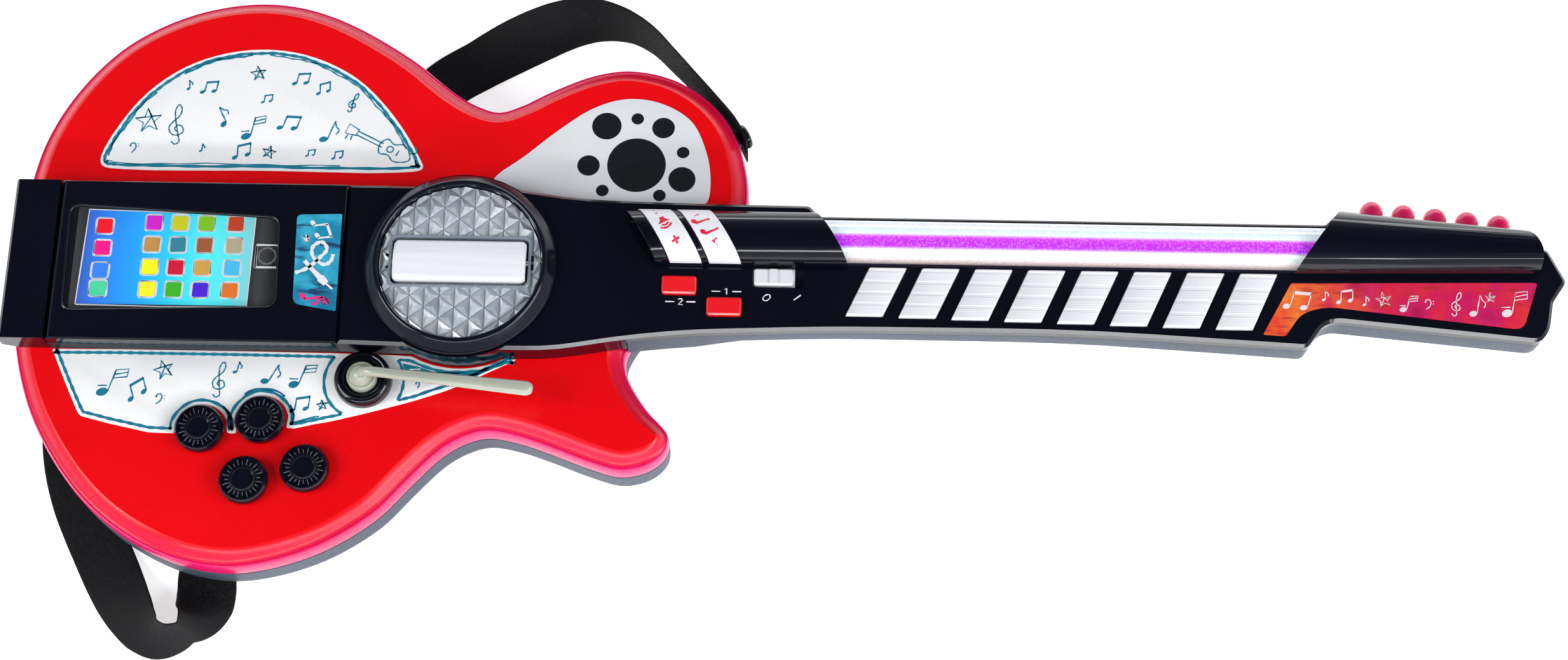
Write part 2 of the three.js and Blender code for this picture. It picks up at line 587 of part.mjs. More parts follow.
function neckShells() {
  const face = solid(stack(neckOutline, [[NECK_SEAM, 0], [56.4, 0], [FACE, 1.8]]));
  const onBody = join(prism(neckOutline, DECK, NECK_SEAM + 1), rod(RING_RADIUS + 1.2, DECK, FACE, 0, 0, 48))
    .intersect(solid(prism(insetOutline(bodyOutline, 0.2), 30, 70)));
  const inside = [
    stack(neckOutline, [[40, WALL], [54, WALL], [SKIN, 4]]),
    rod(RING_RADIUS - 2, 40, SKIN, 0, 0, 48),
  ];
  const outer = face.add(onBody).subtract(solid(block(-140, LID_SEAM, -70, 70, 40, 70)));
  const keyHoles = Array.from({ length: KEY_COUNT }, (_, i) => prism(keyOutline(i, SLIDE), 50, 70));
  const beatHoles = Object.values(BEAT_BUTTONS).map((centre) => prism(beatOutline(centre, SLIDE), 50, 70));
  const roundHoles = Object.values(ROUND_BUTTONS)
    .map((x) => prism(leaning(x - SLIDE, ROUND_BUTTON_WIDTH + 2 * SLIDE, 5, 28, CONTROL_SLANT), 50, 70));
  const front = cut(
    outer,
    ...inside,
    rod(38, 40, 70, 0, 0, 40),
    rodX(TUBE_RADIUS + GAP, 178, TUBE_END + 2, TUBE_Y, FACE, 48),
    prism(insetOutline(headLabelOutline, -GAP), FACE - 1, 70),
    prism(box2(SWITCH.x0, SWITCH.x1, SWITCH.y0, SWITCH.y1, 2), 50, 70),
    ...keyHoles,
    ...beatHoles,
    ...roundHoles,
    ...tuners(GAP + 0.1, -12),
  );
  const bracket = (side) => join(
    block(side * 38.6 - 1.3, side * 38.6 + 1.3, -4, 4, SKIN - 0.5, STRUM_AXIS_Z + 1.5),
    block(side * 37.6 - 2.4, side * 37.6 + 2.4, -4, 4, SKIN - 0.5, FACE),
  );
  const frontShell = cut(front.add(bracket(-1)).add(bracket(1)), rodX(1.75, -45, 45, 0, STRUM_AXIS_Z, 16));

  const outline = withStations(neckOutline);
  const wholeBack = solid(stack(outline, [
    [(x) => neckBack(x), 5], [(x) => neckBack(x) + 1.6, 1.6], [(x) => neckBack(x) + 5, 0], [NECK_SEAM - GAP, 0],
  ]));
  const backShell = cut(
    wholeBack,
    stack(outline, [
      [(x) => neckBack(x) + WALL, 6.5], [(x) => neckBack(x) + WALL + 2.5, WALL], [NECK_SEAM + 5, WALL],
    ]),
    prism(insetOutline(bodyOutline, -GAP), 0, 80),
    block(-140, 80, -70, 70, 0, 80),
    rodX(TUBE_RADIUS + GAP, 178, TUBE_END + 2, TUBE_Y, FACE, 48),
    ...tuners(GAP + 0.1, -12),
  );
  return [
    meshOf('neck_front_shell', frontShell, BLACK),
    meshOf('neck_back_shell', backShell, GREY),
  ];
}

function neckParts() {
  const film = cut(
    join(rodX(TUBE_RADIUS - 2.2, TUBE_START + 4, TUBE_END - 4, TUBE_Y, FACE, 32)),
    rodX(TUBE_RADIUS - 3, TUBE_START, TUBE_END, TUBE_Y, FACE, 32),
  );
  const tube = cut(
    join(rodX(TUBE_RADIUS, TUBE_START, TUBE_END, TUBE_Y, FACE, 40)),
    rodX(TUBE_RADIUS - 1.8, TUBE_START - 1, TUBE_END + 1, TUBE_Y, FACE, 40),
  );
  const keyBoard = prism(box2(205, 440, -27, -1), 45, 46.6);
  return [
    meshOf('light_tube', tube, CLEAR),
    meshOf('tube_film', film, FILM),
    meshOf('key_circuit_board', keyBoard, BOARD),
    meshOf('headstock_label', prism(headLabelOutline, FACE - 0.7, FACE - 0.1), PRINT),
    meshOf('tube_housing', tubeHousing(), BLACK),
    meshOf('headstock_cover', headstockCover(), BLACK),
  ];
}

// Half of a round bar about the tube's axis, above the face.
function halfRound(radius, x0, x1, z0) {
  return solid(rodX(radius, x0, x1, TUBE_Y, FACE, 48))
    .subtract(solid(block(x0 - 1, x1 + 1, TUBE_Y - 40, TUBE_Y + 40, 0, z0)));
}

function tubeHousing() {
  const ends = leaning(106, 103, 0, 34, CONTROL_SLANT, 0);
  const shell = halfRound(HOUSING_RADIUS, 80, 215, FACE + GAP)
    .subtract(solid(rodX(TUBE_RADIUS + GAP, 112, 220, TUBE_Y, FACE, 48)))
    .intersect(solid(prism(ends, 50, 80)));
  const slots = Object.values(ROUND_BUTTONS)
    .map((x) => prism(leaning(x - SLIDE, ROUND_BUTTON_WIDTH + 2 * SLIDE, 2 - SLIDE, 33, CONTROL_SLANT, 0), FACE + 1.2, 80));
  return cut(shell, ...slots, rodX(TUBE_RADIUS - 1, 90, 114, TUBE_Y, FACE, 32));
}

function roundButtons() {
  return Object.entries(ROUND_BUTTONS).map(([name, x]) => {
    const outline = leaning(x, ROUND_BUTTON_WIDTH, 2, 33, CONTROL_SLANT, 0);
    const button = halfRound(HOUSING_RADIUS + 0.3, x - 30, x + 30, FACE + 3)
      .subtract(solid(rodX(TUBE_RADIUS - 0.6, x - 30, x + 30, TUBE_Y, FACE, 48)))
      .intersect(solid(prism(outline, 50, 90)));
    const stem = solid(block(x + 1, x + 7, TUBE_Y - 3, TUBE_Y + 3, 51, FACE + TUBE_RADIUS));
    return meshOf(name, button.add(stem), WHITE);
  });
}

// The headstock cover is an arch that gets narrower towards the tip.
function headstockCover() {
  const arch = (grow, lift) => {
    const points = [];
    for (let i = 0; i <= 16; i += 1) {
      const angle = (Math.PI * i) / 16;
      points.push([0.5 + (0.5 + grow) * Math.cos(angle), FACE + lift + (17 + lift) * Math.sin(angle) ** 0.9]);
    }
    return points;
  };
  const place = (geometry) => {
    const position = geometry.getAttribute('position');
    for (let i = 0; i < position.count; i += 1) {
      const [x, across] = [position.getX(i), position.getY(i)];
      const low = 1 + 0.02 * (x - 448);
      position.setY(i, low + across * (headEdge(x) - 1.4 - low));
    }
    return solid(geometry);
  };
  const plan = rounded([
    [445.5, -1], [475, 39.6], [572, 30, 9], [578.6, 12, 4], [578.6, 2, 0],
  ], 3);
  const outer = place(endProfile(arch(0, GAP), 440, 590, 1)).intersect(solid(prism(plan, 50, 90)));
  const inner = place(endProfile(arch(-0.05, -1.8), 430, 576, 1));
  return outer.subtract(inner).subtract(solid(rodX(TUBE_RADIUS + GAP, 440, TUBE_END + 2, TUBE_Y, FACE, 48)));
}

// The five domed buttons, or with `grow` the holes for them. Their inner ends are `depth` inside the edge.
function tuners(grow = 0, depth = -9) {
  const outward = [0.0995, 0.995];
  return Array.from({ length: TUNER_COUNT }, (_, i) => {
    const x = TUNER_FIRST + TUNER_PITCH * i;
    const radius = TUNER_RADIUS + grow;
    const profile = [[0, depth], [radius, depth], [radius, 5], [radius * 0.87, 8.4], [radius * 0.5, 11], [0, 11.9]];
    return turned(profile, 20).rotateX(-Math.PI / 2).rotateZ(-Math.atan2(outward[0], outward[1]))
      .translate(x, headEdge(x), TUNER_Z);
  });
}

// ---------- The buttons on the neck ----------

const KEY_TOP = FACE + 1.9;

function neckButtons() {
  const made = [];
  for (let i = 0; i < KEY_COUNT; i += 1) {
    const key = stack(keyOutline(i), [[50.8, 0], [KEY_TOP - 0.6, 0], [KEY_TOP, 0.6]]);
    made.push(meshOf(`key_${i + 1}`, key, WHITE));
  }
  for (const [name, centre] of Object.entries(BEAT_BUTTONS)) {
    const cap = solid(stack(beatOutline(centre, 0), [[52.5, 0], [60, 0], [60.8, 0.9]]));
    const flange = solid(prism(beatOutline(centre, 1.2), 52.5, SKIN - GAP));
    made.push(meshOf(name, cap.add(flange), BUTTON_RED));
  }
  const { x0, y0, y1, knob } = SWITCH;
  const [left, right] = [x0 + 0.9, x0 + 0.9 + knob];
  const slider = solid(stack(box2(left, right, y0 + 1, y1 - 1, 1.5), [[52.8, 0], [59.2, 0], [59.8, 0.7]]))
    .add(solid(block((left + right) / 2 - 2, (left + right) / 2 + 2, y0 + 1.6, y1 - 1.6, 59, 60.8)))
    .add(solid(prism(box2(left - 1, right + 1, y0 - 1, y1 + 1, 1), 52.8, SKIN - GAP)));
  made.push(meshOf('power_slider', slider, WHITE));
  tuners().forEach((geometry, i) => made.push(meshOf(`tuner_button_${i + 1}`, geometry, TUNER_RED)));
  return [...made, ...roundButtons()];
}

// ---------- The strum disc ----------

const STRUM_AXIS_Z = 61.2;
const STRUM_HALF = [35.4, 11.7];

function strum() {
  const ring = turned([
    [DISC_RADIUS + 0.5, FACE + GAP], [RING_RADIUS, FACE + GAP], [RING_RADIUS, 60], [50.4, 61.6], [46.2, 66],
    [44.9, 66.3], [DISC_RADIUS + 0.5, 65.4],
  ], 48);
  const slot = prism(box2(-STRUM_HALF[0] - 1.4, STRUM_HALF[0] + 1.4, -STRUM_HALF[1] - 1.8, STRUM_HALF[1] + 1.8, 3), 50, 70);
  const disc = cut(
    join(turned([[0, 62.2], [39, 62.2], [39, FACE + GAP], [DISC_RADIUS, FACE + GAP], [DISC_RADIUS, DISC_TOP], [0, DISC_TOP]], 48)),
    slot,
    block(-41, 41, -5, 5, 55, 63.5),
  );
  const [halfX, halfY] = STRUM_HALF;
  const across = [
    [-halfY + 1, 58.6], [halfY - 1, 58.6], [halfY, 59.5], [halfY, 66.2], [halfY - 1.4, 67.4], [0, 68.4],
    [-halfY + 1.4, 67.4], [-halfY, 66.2], [-halfY, 59.5],
  ];
  const barPlan = box2(-halfX, halfX, -halfY - 1, halfY + 1, 3);
  const bar = join(endProfile(across, -halfX, halfX)).intersect(solid(prism(barPlan, 50, 80)))
    .add(solid(block(-3, 3, -2, 2, 48, 60)))
    .subtract(solid(rodX(1.7, -50, 50, 0, STRUM_AXIS_Z, 16)));
  return [
    meshOf('strum_ring', ring, BLACK),
    meshOf('strum_diffuser', disc, SILVER),
    meshOf('strum_bar', bar, WHITE),
    meshOf('strum_pin', rodX(1.45, -39.6, 39.6, 0, STRUM_AXIS_Z, 16), STEEL),
  ];
}

// ---------- The strap and its buttons ----------

const HORN_BUTTON = { x: 146.1, y: 91.1, z: 24, turn: 0.5 };
const TAIL_BUTTON = [-214, -36];

// The horn button's shaft, or with `grow` the hole for it, between two distances from the body's side.
function strapPost(grow, from, to) {
  return rodX(2.6 + grow, from, to, 0, 0, 16)
    .rotateZ(HORN_BUTTON.turn).translate(HORN_BUTTON.x, HORN_BUTTON.y, HORN_BUTTON.z);
}

function strapButtons() {
  const horn = join(
    rodX(2.6, -8, 6, 0, 0, 16),
    turned([[0, 3.7], [7, 3.7], [7.2, 5.2], [6.4, 6.8], [3, 7.6], [0, 7.6]], 24).rotateY(Math.PI / 2),
    rodX(4.6, -0.9, 1.3, 0, 0, 16),
  );
  const hornMesh = meshOf('strap_button_horn', horn, BLACK, [HORN_BUTTON.x, HORN_BUTTON.y, HORN_BUTTON.z]);
  hornMesh.rotation.z = HORN_BUTTON.turn;
  const tail = turned([[0, 0.8], [6.5, 0.8], [6.5, 2.2], [2.5, 2.6], [2.5, 9.4], [0, 9.4]], 20).translate(...TAIL_BUTTON, 0);
  return [hornMesh, meshOf('strap_button_tail', tail, BLACK)];
}

// The recess in which the strap rises from under the body to the tail button, or with `wall` the raised
// floor round it.
function strapRecess(wall = 0) {
  const [x, y] = TAIL_BUTTON;
  return block(x - 17 - wall, x + 17 + wall, y - 40 - wall, y + 17 + wall, wall > 0 ? BACK + 1 : -1, 7.2 + wall);
}

// The middle line of the strap: [x, y, z, bank], where bank is how far its width is tipped up, in degrees.
const STRAP_ROUTE = [
  [151.9, 84.8, 24, 90], [148.3, 92.4, 24, 90], [144, 99.5, 24, 90], [138.2, 106.8, 24, 90],
  [120.5, 127.6, 24, 90], [108.9, 140.4, 24, 88], [97.6, 152.5, 23.5, 86], [86.4, 160.7, 22, 82],
  [75.1, 165.7, 19.5, 74], [63.9, 168.2, 17, 64], [52.8, 168.1, 14.5, 54], [41.8, 166, 12, 44],
  [30.8, 162.3, 9.5, 33], [19.8, 157.8, 7, 22], [8.9, 152.6, 4.6, 12], [-2.1, 146.6, 2.4, 3],
  [-24.5, 131.5, 1.1, 0], [-52, 92, 1.1, 0], [-80, 30, 1.1, 0], [-104, -40, 1.1, 0], [-124, -110, 1.1, 0],
  [-131, -140, 1.1, 0], [-133, -159, 1.4, 0], [-132, -169, 3.5, 10], [-131.6, -178.5, 8, 28],
  [-133.5, -187.5, 14, 58], [-138.5, -194, 16, 82], [-146, -197.5, 15.5, 72], [-155, -197, 13.6, 56],
  [-163.5, -191, 10.6, 40], [-171, -181.5, 7.5, 26], [-177.5, -171.5, 4.6, 14], [-183.5, -161, 2.4, 5],
  [-190.5, -148, 1.2, 0], [-197.6, -134.5, 1.1, 0], [-205, -119, 1.1, 0], [-211.5, -100, 1.1, 0],
  [-215, -82, 1.1, 0], [-215.5, -66, 2.2, 0], [-214.6, -52, 4.2, 0], [-214, -36, 4.6, 0],
  [-214, -23, 4.6, 0],
];

// A flat ribbon along the route. Its last end has a hole for the tail button and its first one for the horn's.
function strap() {
  const line = new THREE.CatmullRomCurve3(STRAP_ROUTE.map(([x, y, z]) => new THREE.Vector3(x, y, z)), false, 'centripetal');
  const steps = (STRAP_ROUTE.length - 1) * 2;
  const positions = [];
  for (let i = 0; i <= steps; i += 1) {
    const t = i / steps;
    const centre = line.getPoint(t);
    const along = line.getTangent(t);
    const place = t * (STRAP_ROUTE.length - 1);
    const before = STRAP_ROUTE[Math.floor(place)];
    const after = STRAP_ROUTE[Math.ceil(place)];
    const bank = THREE.MathUtils.degToRad(THREE.MathUtils.lerp(before[3], after[3], place % 1));
    const flat = new THREE.Vector3(-along.y, along.x, 0).normalize();
    const across = flat.clone().multiplyScalar(Math.cos(bank)).add(new THREE.Vector3(0, 0, -Math.sin(bank)));
    const normal = new THREE.Vector3().crossVectors(along, across).normalize();
    for (const [u, v] of [[-0.5, -0.5], [0.5, -0.5], [0.5, 0.5], [-0.5, 0.5]]) {
      const corner = centre.clone().addScaledVector(across, u * STRAP_WIDTH).addScaledVector(normal, v * STRAP_THICKNESS);
      positions.push(corner.x, corner.y, Math.max(corner.z, 0.3));
    }
  }
  const index = [2, 1, 0, 3, 2, 0];
  for (let i = 0; i < steps; i += 1) {
    for (let k = 0; k < 4; k += 1) {
      const [a, b] = [i * 4 + k, i * 4 + ((k + 1) % 4)];
      index.push(a, b, b + 4, a, b + 4, a + 4);
    }
  }
  const last = steps * 4;
  index.push(last, last + 1, last + 2, last, last + 2, last + 3);
  const ribbon = new THREE.BufferGeometry();
  ribbon.setAttribute('position', new THREE.Float32BufferAttribute(positions, 3));
  ribbon.setIndex(index);
  return meshOf('strap', cut(join(ribbon), rod(3.2, -1, 9, ...TAIL_BUTTON, 16), strapPost(0.6, -4, 14)), WEBBING);
}

// ---------- The guitar ----------

const guitar = new THREE.Group();

function addGroup(...meshes) {
  const group = new THREE.Group();
  group.add(...meshes);
  guitar.add(group);
}

addGroup(...bodyShells(), ...electronics(), ...bodyPlates(), ...knobs());
addGroup(...whammy());
addGroup(...dock());
addGroup(...strum());
addGroup(...neckShells(), ...neckParts(), ...neckButtons());
addGroup(...strapButtons(), strap());

export default guitar;
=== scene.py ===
"""Looks of the toy electric guitar: finer shapes, drawings, materials, light and camera on the CAD frame.

Lengths are in millimetres until an object is made, and metres after that.
"""

import math
import random

import bmesh
import bpy
from mathutils import Matrix, Vector


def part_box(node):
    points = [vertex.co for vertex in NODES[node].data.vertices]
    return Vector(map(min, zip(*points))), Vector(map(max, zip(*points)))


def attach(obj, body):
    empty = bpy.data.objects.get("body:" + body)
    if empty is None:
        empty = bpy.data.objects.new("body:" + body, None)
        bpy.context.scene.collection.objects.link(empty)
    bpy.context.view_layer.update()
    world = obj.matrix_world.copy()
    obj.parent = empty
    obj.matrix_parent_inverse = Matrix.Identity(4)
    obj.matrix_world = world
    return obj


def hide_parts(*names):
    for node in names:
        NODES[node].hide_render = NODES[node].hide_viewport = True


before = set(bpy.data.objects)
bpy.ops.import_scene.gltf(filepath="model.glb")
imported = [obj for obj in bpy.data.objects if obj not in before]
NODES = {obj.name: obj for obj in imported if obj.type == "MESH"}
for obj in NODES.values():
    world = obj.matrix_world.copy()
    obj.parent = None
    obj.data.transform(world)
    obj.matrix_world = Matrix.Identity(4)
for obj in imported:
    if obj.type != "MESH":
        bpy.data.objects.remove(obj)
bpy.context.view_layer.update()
MM = 0.001
TAU = 2 * math.pi
random.seed(7)


# ---------- Materials ----------


def node_tree(name):
    """A new material's node tree, its Principled shader and its object coordinates."""
    made = bpy.data.materials.new(name)
    made.use_nodes = True
    tree = made.node_tree
    shader = tree.nodes["Principled BSDF"]
    coords = tree.nodes.new("ShaderNodeTexCoord").outputs["Object"]
    return made, tree, shader, coords


def noise(tree, coords, scale, detail=3.0, stretch=None):
    """A noise pattern. stretch scales the coordinates first, to draw the pattern out along an axis."""
    if stretch:
        mapping = tree.nodes.new("ShaderNodeMapping")
        mapping.inputs["Scale"].default_value = stretch
        tree.links.new(coords, mapping.inputs["Vector"])
        coords = mapping.outputs["Vector"]
    texture = tree.nodes.new("ShaderNodeTexNoise")
    texture.inputs["Scale"].default_value = scale
    texture.inputs["Detail"].default_value = detail
    tree.links.new(coords, texture.inputs["Vector"])
    return texture.outputs["Fac"]


def ramp(tree, value, stops):
    """Colours along a value, from (position, colour) stops."""
    node = tree.nodes.new("ShaderNodeValToRGB")
    tree.links.new(value, node.inputs["Fac"])
    elements = node.color_ramp.elements
    while len(elements) < len(stops):
        elements.new(0.5)
    for element, (position, color) in zip(elements, stops):
        element.position = position
        element.color = (*color, 1.0)
    return node.outputs["Color"]


def span(tree, value, low, high, to_low=0.0, to_high=1.0):
    """The value mapped from one range to another."""
    node = tree.nodes.new("ShaderNodeMapRange")
    for key, number in (("From Min", low), ("From Max", high), ("To Min", to_low), ("To Max", to_high)):
        node.inputs[key].default_value = number
    tree.links.new(value, node.inputs["Value"])
    return node.outputs["Result"]


def axis_of(tree, coords, axis):
    """One of the three coordinates."""
    split = tree.nodes.new("ShaderNodeSeparateXYZ")
    tree.links.new(coords, split.inputs["Vector"])
    return split.outputs[axis]


def bump(tree, shader, height, strength, distance):
    """Raise the surface by a pattern. distance is in metres."""
    node = tree.nodes.new("ShaderNodeBump")
    node.inputs["Strength"].default_value = strength
    node.inputs["Distance"].default_value = distance
    tree.links.new(height, node.inputs["Height"])
    tree.links.new(node.outputs["Normal"], shader.inputs["Normal"])


def mixed(tree, amount, first, second, way="MIX"):
    """Two colours mixed by an amount. The second may be a plain colour."""
    node = tree.nodes.new("ShaderNodeMixRGB")
    node.blend_type = way
    tree.links.new(amount, node.inputs["Fac"])
    tree.links.new(first, node.inputs["Color1"])
    if isinstance(second, tuple):
        node.inputs["Color2"].default_value = (*second, 1.0)
    else:
        tree.links.new(second, node.inputs["Color2"])
    return node.outputs["Color"]


def coat_of(tree, shader, color, pattern, low, high, smooth, dull):
    """Give the shader a colour, and a roughness that follows a pattern."""
    tree.links.new(color, shader.inputs["Base Color"])
    tree.links.new(span(tree, pattern, low, high, smooth, dull), shader.inputs["Roughness"])


def finish_of(shader, **sockets):
    """Set the shader's own sockets by their names in lower case."""
    for key, value in sockets.items():
        shader.inputs[key.replace("_", " ").title().replace("Ior", "IOR")].default_value = value


def plastic(name, color, roughness, mottle=0.05, grain=700.0, texture=0.06, **sockets):
    """Moulded plastic with slight colour clouds, uneven gloss and a fine grain."""
    made, tree, shader, coords = node_tree(name)
    cloud = noise(tree, coords, 14.0, 4.0)
    dark = [c * (1 - mottle) for c in color]
    light = [min(1.0, c * (1 + mottle)) for c in color]
    fine = noise(tree, coords, grain, 5.0)
    color = ramp(tree, cloud, [(0.3, dark), (0.7, light)])
    coat_of(tree, shader, color, fine, 0.2, 0.8, roughness * 0.8, roughness * 1.2)
    bump(tree, shader, fine, texture, 0.0002)
    finish_of(shader, **sockets)
    return made


def red_shell():
    """Red on the flat front; the crimson on the rim is painted shade and the pink on the side wall is painted
    reflection, both laid on by height.
    """
    made, tree, shader, coords = node_tree("red_plastic")
    cloud = noise(tree, coords, 12.0, 4.0)
    height = axis_of(tree, coords, "Z")
    color = ramp(tree, cloud, [(0.3, (0.70, 0.006, 0.11)), (0.7, (0.78, 0.010, 0.15))])
    # By height: pink below the ridge is painted reflection, crimson up the rim is painted shade, and the flat front
    # keeps the plastic's own red.
    for low, high, dark, light in (
        (0.0360, 0.0364, (0.68, 0.003, 0.030), (0.76, 0.004, 0.050)),
        (0.0395, 0.0420, (0.80, 0.001, 0.003), (0.86, 0.002, 0.005)),
    ):
        above = ramp(tree, cloud, [(0.3, dark), (0.7, light)])
        color = mixed(tree, span(tree, height, low, high), color, above)
    fine = noise(tree, coords, 700.0, 5.0)
    coat_of(tree, shader, color, fine, 0.2, 0.8, 0.22, 0.30)
    bump(tree, shader, fine, 0.02, 0.0002)
    finish_of(shader, specular_ior_level=0.35)
    return made


def glow(material, strength):
    """Let a material shine in its own colour."""
    shader = material.node_tree.nodes["Principled BSDF"]
    source = shader.inputs["Base Color"].links[0].from_socket
    material.node_tree.links.new(source, shader.inputs["Emission Color"])
    shader.inputs["Emission Strength"].default_value = strength
    return material


RED = red_shell()
GREY = plastic("grey_plastic", (0.060, 0.078, 0.108), 0.45, 0.08, texture=0.12, specular_ior_level=0.2)
BLACK = plastic("black_plastic", (0.0022, 0.0027, 0.0075), 0.12, 0.2, texture=0.01,
                specular_ior_level=0.4, coat_weight=0.15)
RING_BLACK = plastic("ring_plastic", (0.004, 0.005, 0.012), 0.14, 0.2, texture=0.01, specular_ior_level=0.35)
DULL_BLACK = plastic("dull_black_plastic", (0.007, 0.008, 0.012), 0.45, 0.1, texture=0.2)
# Lighter grey for the knobs' fine ribs: a painted highlight along the rib edges.
RIB_HIGHLIGHT = plastic("rib_painted_highlight", (0.13, 0.13, 0.16), 0.25, 0.1, texture=0.02)
WHITE = plastic("white_plastic", (0.82, 0.82, 0.86), 0.3, 0.02, texture=0.02)
PALE = plastic("pale_plastic", (0.76, 0.77, 0.80), 0.38, 0.02, texture=0.05)
BUTTON_RED = plastic("button_red_plastic", (0.88, 0.012, 0.018), 0.25, 0.03, texture=0.02, coat_weight=0.4)
TUNER_RED = plastic("tuner_plastic", (0.78, 0.008, 0.11), 0.28, 0.06, texture=0.03, coat_weight=0.4)
CLOUDY = plastic("cloudy_plastic", (0.40, 0.44, 0.36), 0.2, 0.14, texture=0.05,
                 subsurface_weight=0.6, subsurface_scale=0.004, coat_weight=0.3)
STEEL = plastic("steel", (0.55, 0.55, 0.57), 0.3, 0.1, metallic=1.0)
CIRCUIT = plastic("circuit_board", (0.02, 0.16, 0.07), 0.4, 0.3)
CLEAR = plastic("clear_plastic", (0.10, 0.11, 0.12), 0.05, 0.02, texture=0.01, alpha=0.05, coat_weight=1.0)
TEAL_INK = plastic("teal_ink", (0.006, 0.20, 0.31), 0.4, 0.2, grain=400.0)
WHITE_INK = plastic("white_ink", (0.82, 0.82, 0.84), 0.4, 0.08, grain=400.0)
RED_INK = plastic("red_ink", (0.72, 0.012, 0.05), 0.4, 0.08, grain=400.0)
PINK_INK = plastic("pink_ink", (0.80, 0.03, 0.22), 0.4, 0.08, grain=400.0)


def plate_print():
    """White print with faint grey clouds, as on the two drawn plates."""
    made, tree, shader, coords = node_tree("plate_print")
    cloud = noise(tree, coords, 9.0, 3.0, (1.0, 1.8, 1.0))
    color = ramp(tree, cloud, [(0.30, (0.78, 0.80, 0.82)), (0.44, (0.92, 0.93, 0.93)), (0.56, (0.96, 0.96, 0.96))])
    fine = noise(tree, coords, 900.0)
    coat_of(tree, shader, color, fine, 0.2, 0.8, 0.22, 0.34)
    bump(tree, shader, fine, 0.02, 0.0002)
    return made


def grunge(name, stops, scratch, stretch=(1.0, 1.0, 1.0), far_stops=None, change=(0.0, 1.0)):
    """Worn, blotchy print with scratches of a second colour. far_stops take over along X."""
    made, tree, shader, coords = node_tree(name)
    blotch = noise(tree, coords, 42.0, 8.0, stretch)
    color = ramp(tree, blotch, stops)
    if far_stops:
        turn = span(tree, axis_of(tree, coords, "X"), *change)
        color = mixed(tree, turn, color, ramp(tree, blotch, far_stops))
    lines = noise(tree, coords, 60.0, 9.0, (0.6, 2.8, 1.0))
    color = mixed(tree, span(tree, lines, 0.56, 0.64), color, scratch)
    coat_of(tree, shader, color, lines, 0.3, 0.7, 0.25, 0.45)
    bump(tree, shader, lines, 0.05, 0.0002)
    return made


PLATE = plate_print()
TEAL_PRINT = grunge("blue_label", [
    (0.30, (0.004, 0.07, 0.16)), (0.45, (0.01, 0.24, 0.42)), (0.58, (0.04, 0.42, 0.60)), (0.72, (0.01, 0.16, 0.30)),
], (0.01, 0.05, 0.14))
RED_PRINT = grunge("red_label", [
    (0.32, (0.62, 0.03, 0.02)), (0.44, (0.82, 0.07, 0.02)), (0.54, (0.90, 0.16, 0.02)), (0.68, (0.92, 0.34, 0.03)),
], (0.50, 0.02, 0.03), (1.4, 1.0, 1.0), [
    (0.32, (0.40, 0.006, 0.06)), (0.44, (0.58, 0.010, 0.12)), (0.54, (0.68, 0.014, 0.07)), (0.68, (0.74, 0.03, 0.04)),
], (0.435, 0.495))


def bands(name, axis, low, high, stops, roughness, dots=0.0, **sockets):
    """Colour bands along an axis between two positions in metres, with sparkling dots."""
    made, tree, shader, coords = node_tree(name)
    place = span(tree, axis_of(tree, coords, axis), low, high)
    color = ramp(tree, place, stops)
    if dots:
        cells = tree.nodes.new("ShaderNodeTexVoronoi")
        cells.inputs["Scale"].default_value = 700.0
        tree.links.new(coords, cells.inputs["Vector"])
        sparkle = span(tree, cells.outputs["Distance"], 0.15, 0.55, dots, 0.0)
        color = mixed(tree, sparkle, color, (0.7, 0.75, 0.8), "ADD")
    uneven = noise(tree, coords, 300.0, 4.0)
    coat_of(tree, shader, color, uneven, 0.2, 0.8, roughness * 0.7, roughness * 1.4)
    finish_of(shader, **sockets)
    return made


# ---------- Shapes: (points, faces) in millimetres ----------


def joined(*shapes):
    """Several shapes as one."""
    points, faces = [], []
    for more_points, more_faces in shapes:
        start = len(points)
        points += list(more_points)
        faces += [tuple(i + start for i in face) for face in more_faces]
    return points, faces


def moved(shape, matrix):
    return [tuple(matrix @ Vector(p)) for p in shape[0]], shape[1]


def shifted(shape, x=0.0, y=0.0, z=0.0):
    return moved(shape, Matrix.Translation((x, y, z)))


def limits(node):
    """The lowest and highest corner of a CAD node."""
    return [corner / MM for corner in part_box(node)]


def top_of(node):
    return limits(node)[1].z


def middle_of(node):
    low, high = limits(node)
    return (low + high) / 2


def centre_of(outline):
    """The mean of an outline's points."""
    return [sum(p[axis] for p in outline) / len(outline) for axis in (0, 1)]


def area_of(outline):
    pairs = zip(outline, outline[1:] + outline[:1])
    return sum(a[0] * b[1] - b[0] * a[1] for a, b in pairs) / 2


def borders(faces):
    """The closed loops round a patch of faces."""
    edges = set()
    for face in faces:
        for a, b in zip(face, face[1:] + face[:1]):
            if (b, a) in edges:
                edges.discard((b, a))
            else:
                edges.add((a, b))
    follow = dict(edges)
    loops = []
    while follow:
        start, here = follow.popitem()
        loop = [start]
        while here != start and here in follow:
            loop.append(here)
            here = follow.pop(here)
        loops.append(loop)
    return loops


def outlines_of(node, z):
    """The closed outlines of a CAD node's level faces at height z, the largest first, anticlockwise."""
    mesh = NODES[node].data
    faces = []
    for face in mesh.polygons:
        corners = [mesh.vertices[i].co / MM for i in face.vertices]
        if all(abs(c.z - z) < 0.02 for c in corners):
            faces.append([(round(c.x, 3), round(c.y, 3)) for c in corners])
    found = [loop if area_of(loop) > 0 else loop[::-1] for loop in borders(faces)]
    return sorted(found, key=lambda loop: -abs(area_of(loop)))


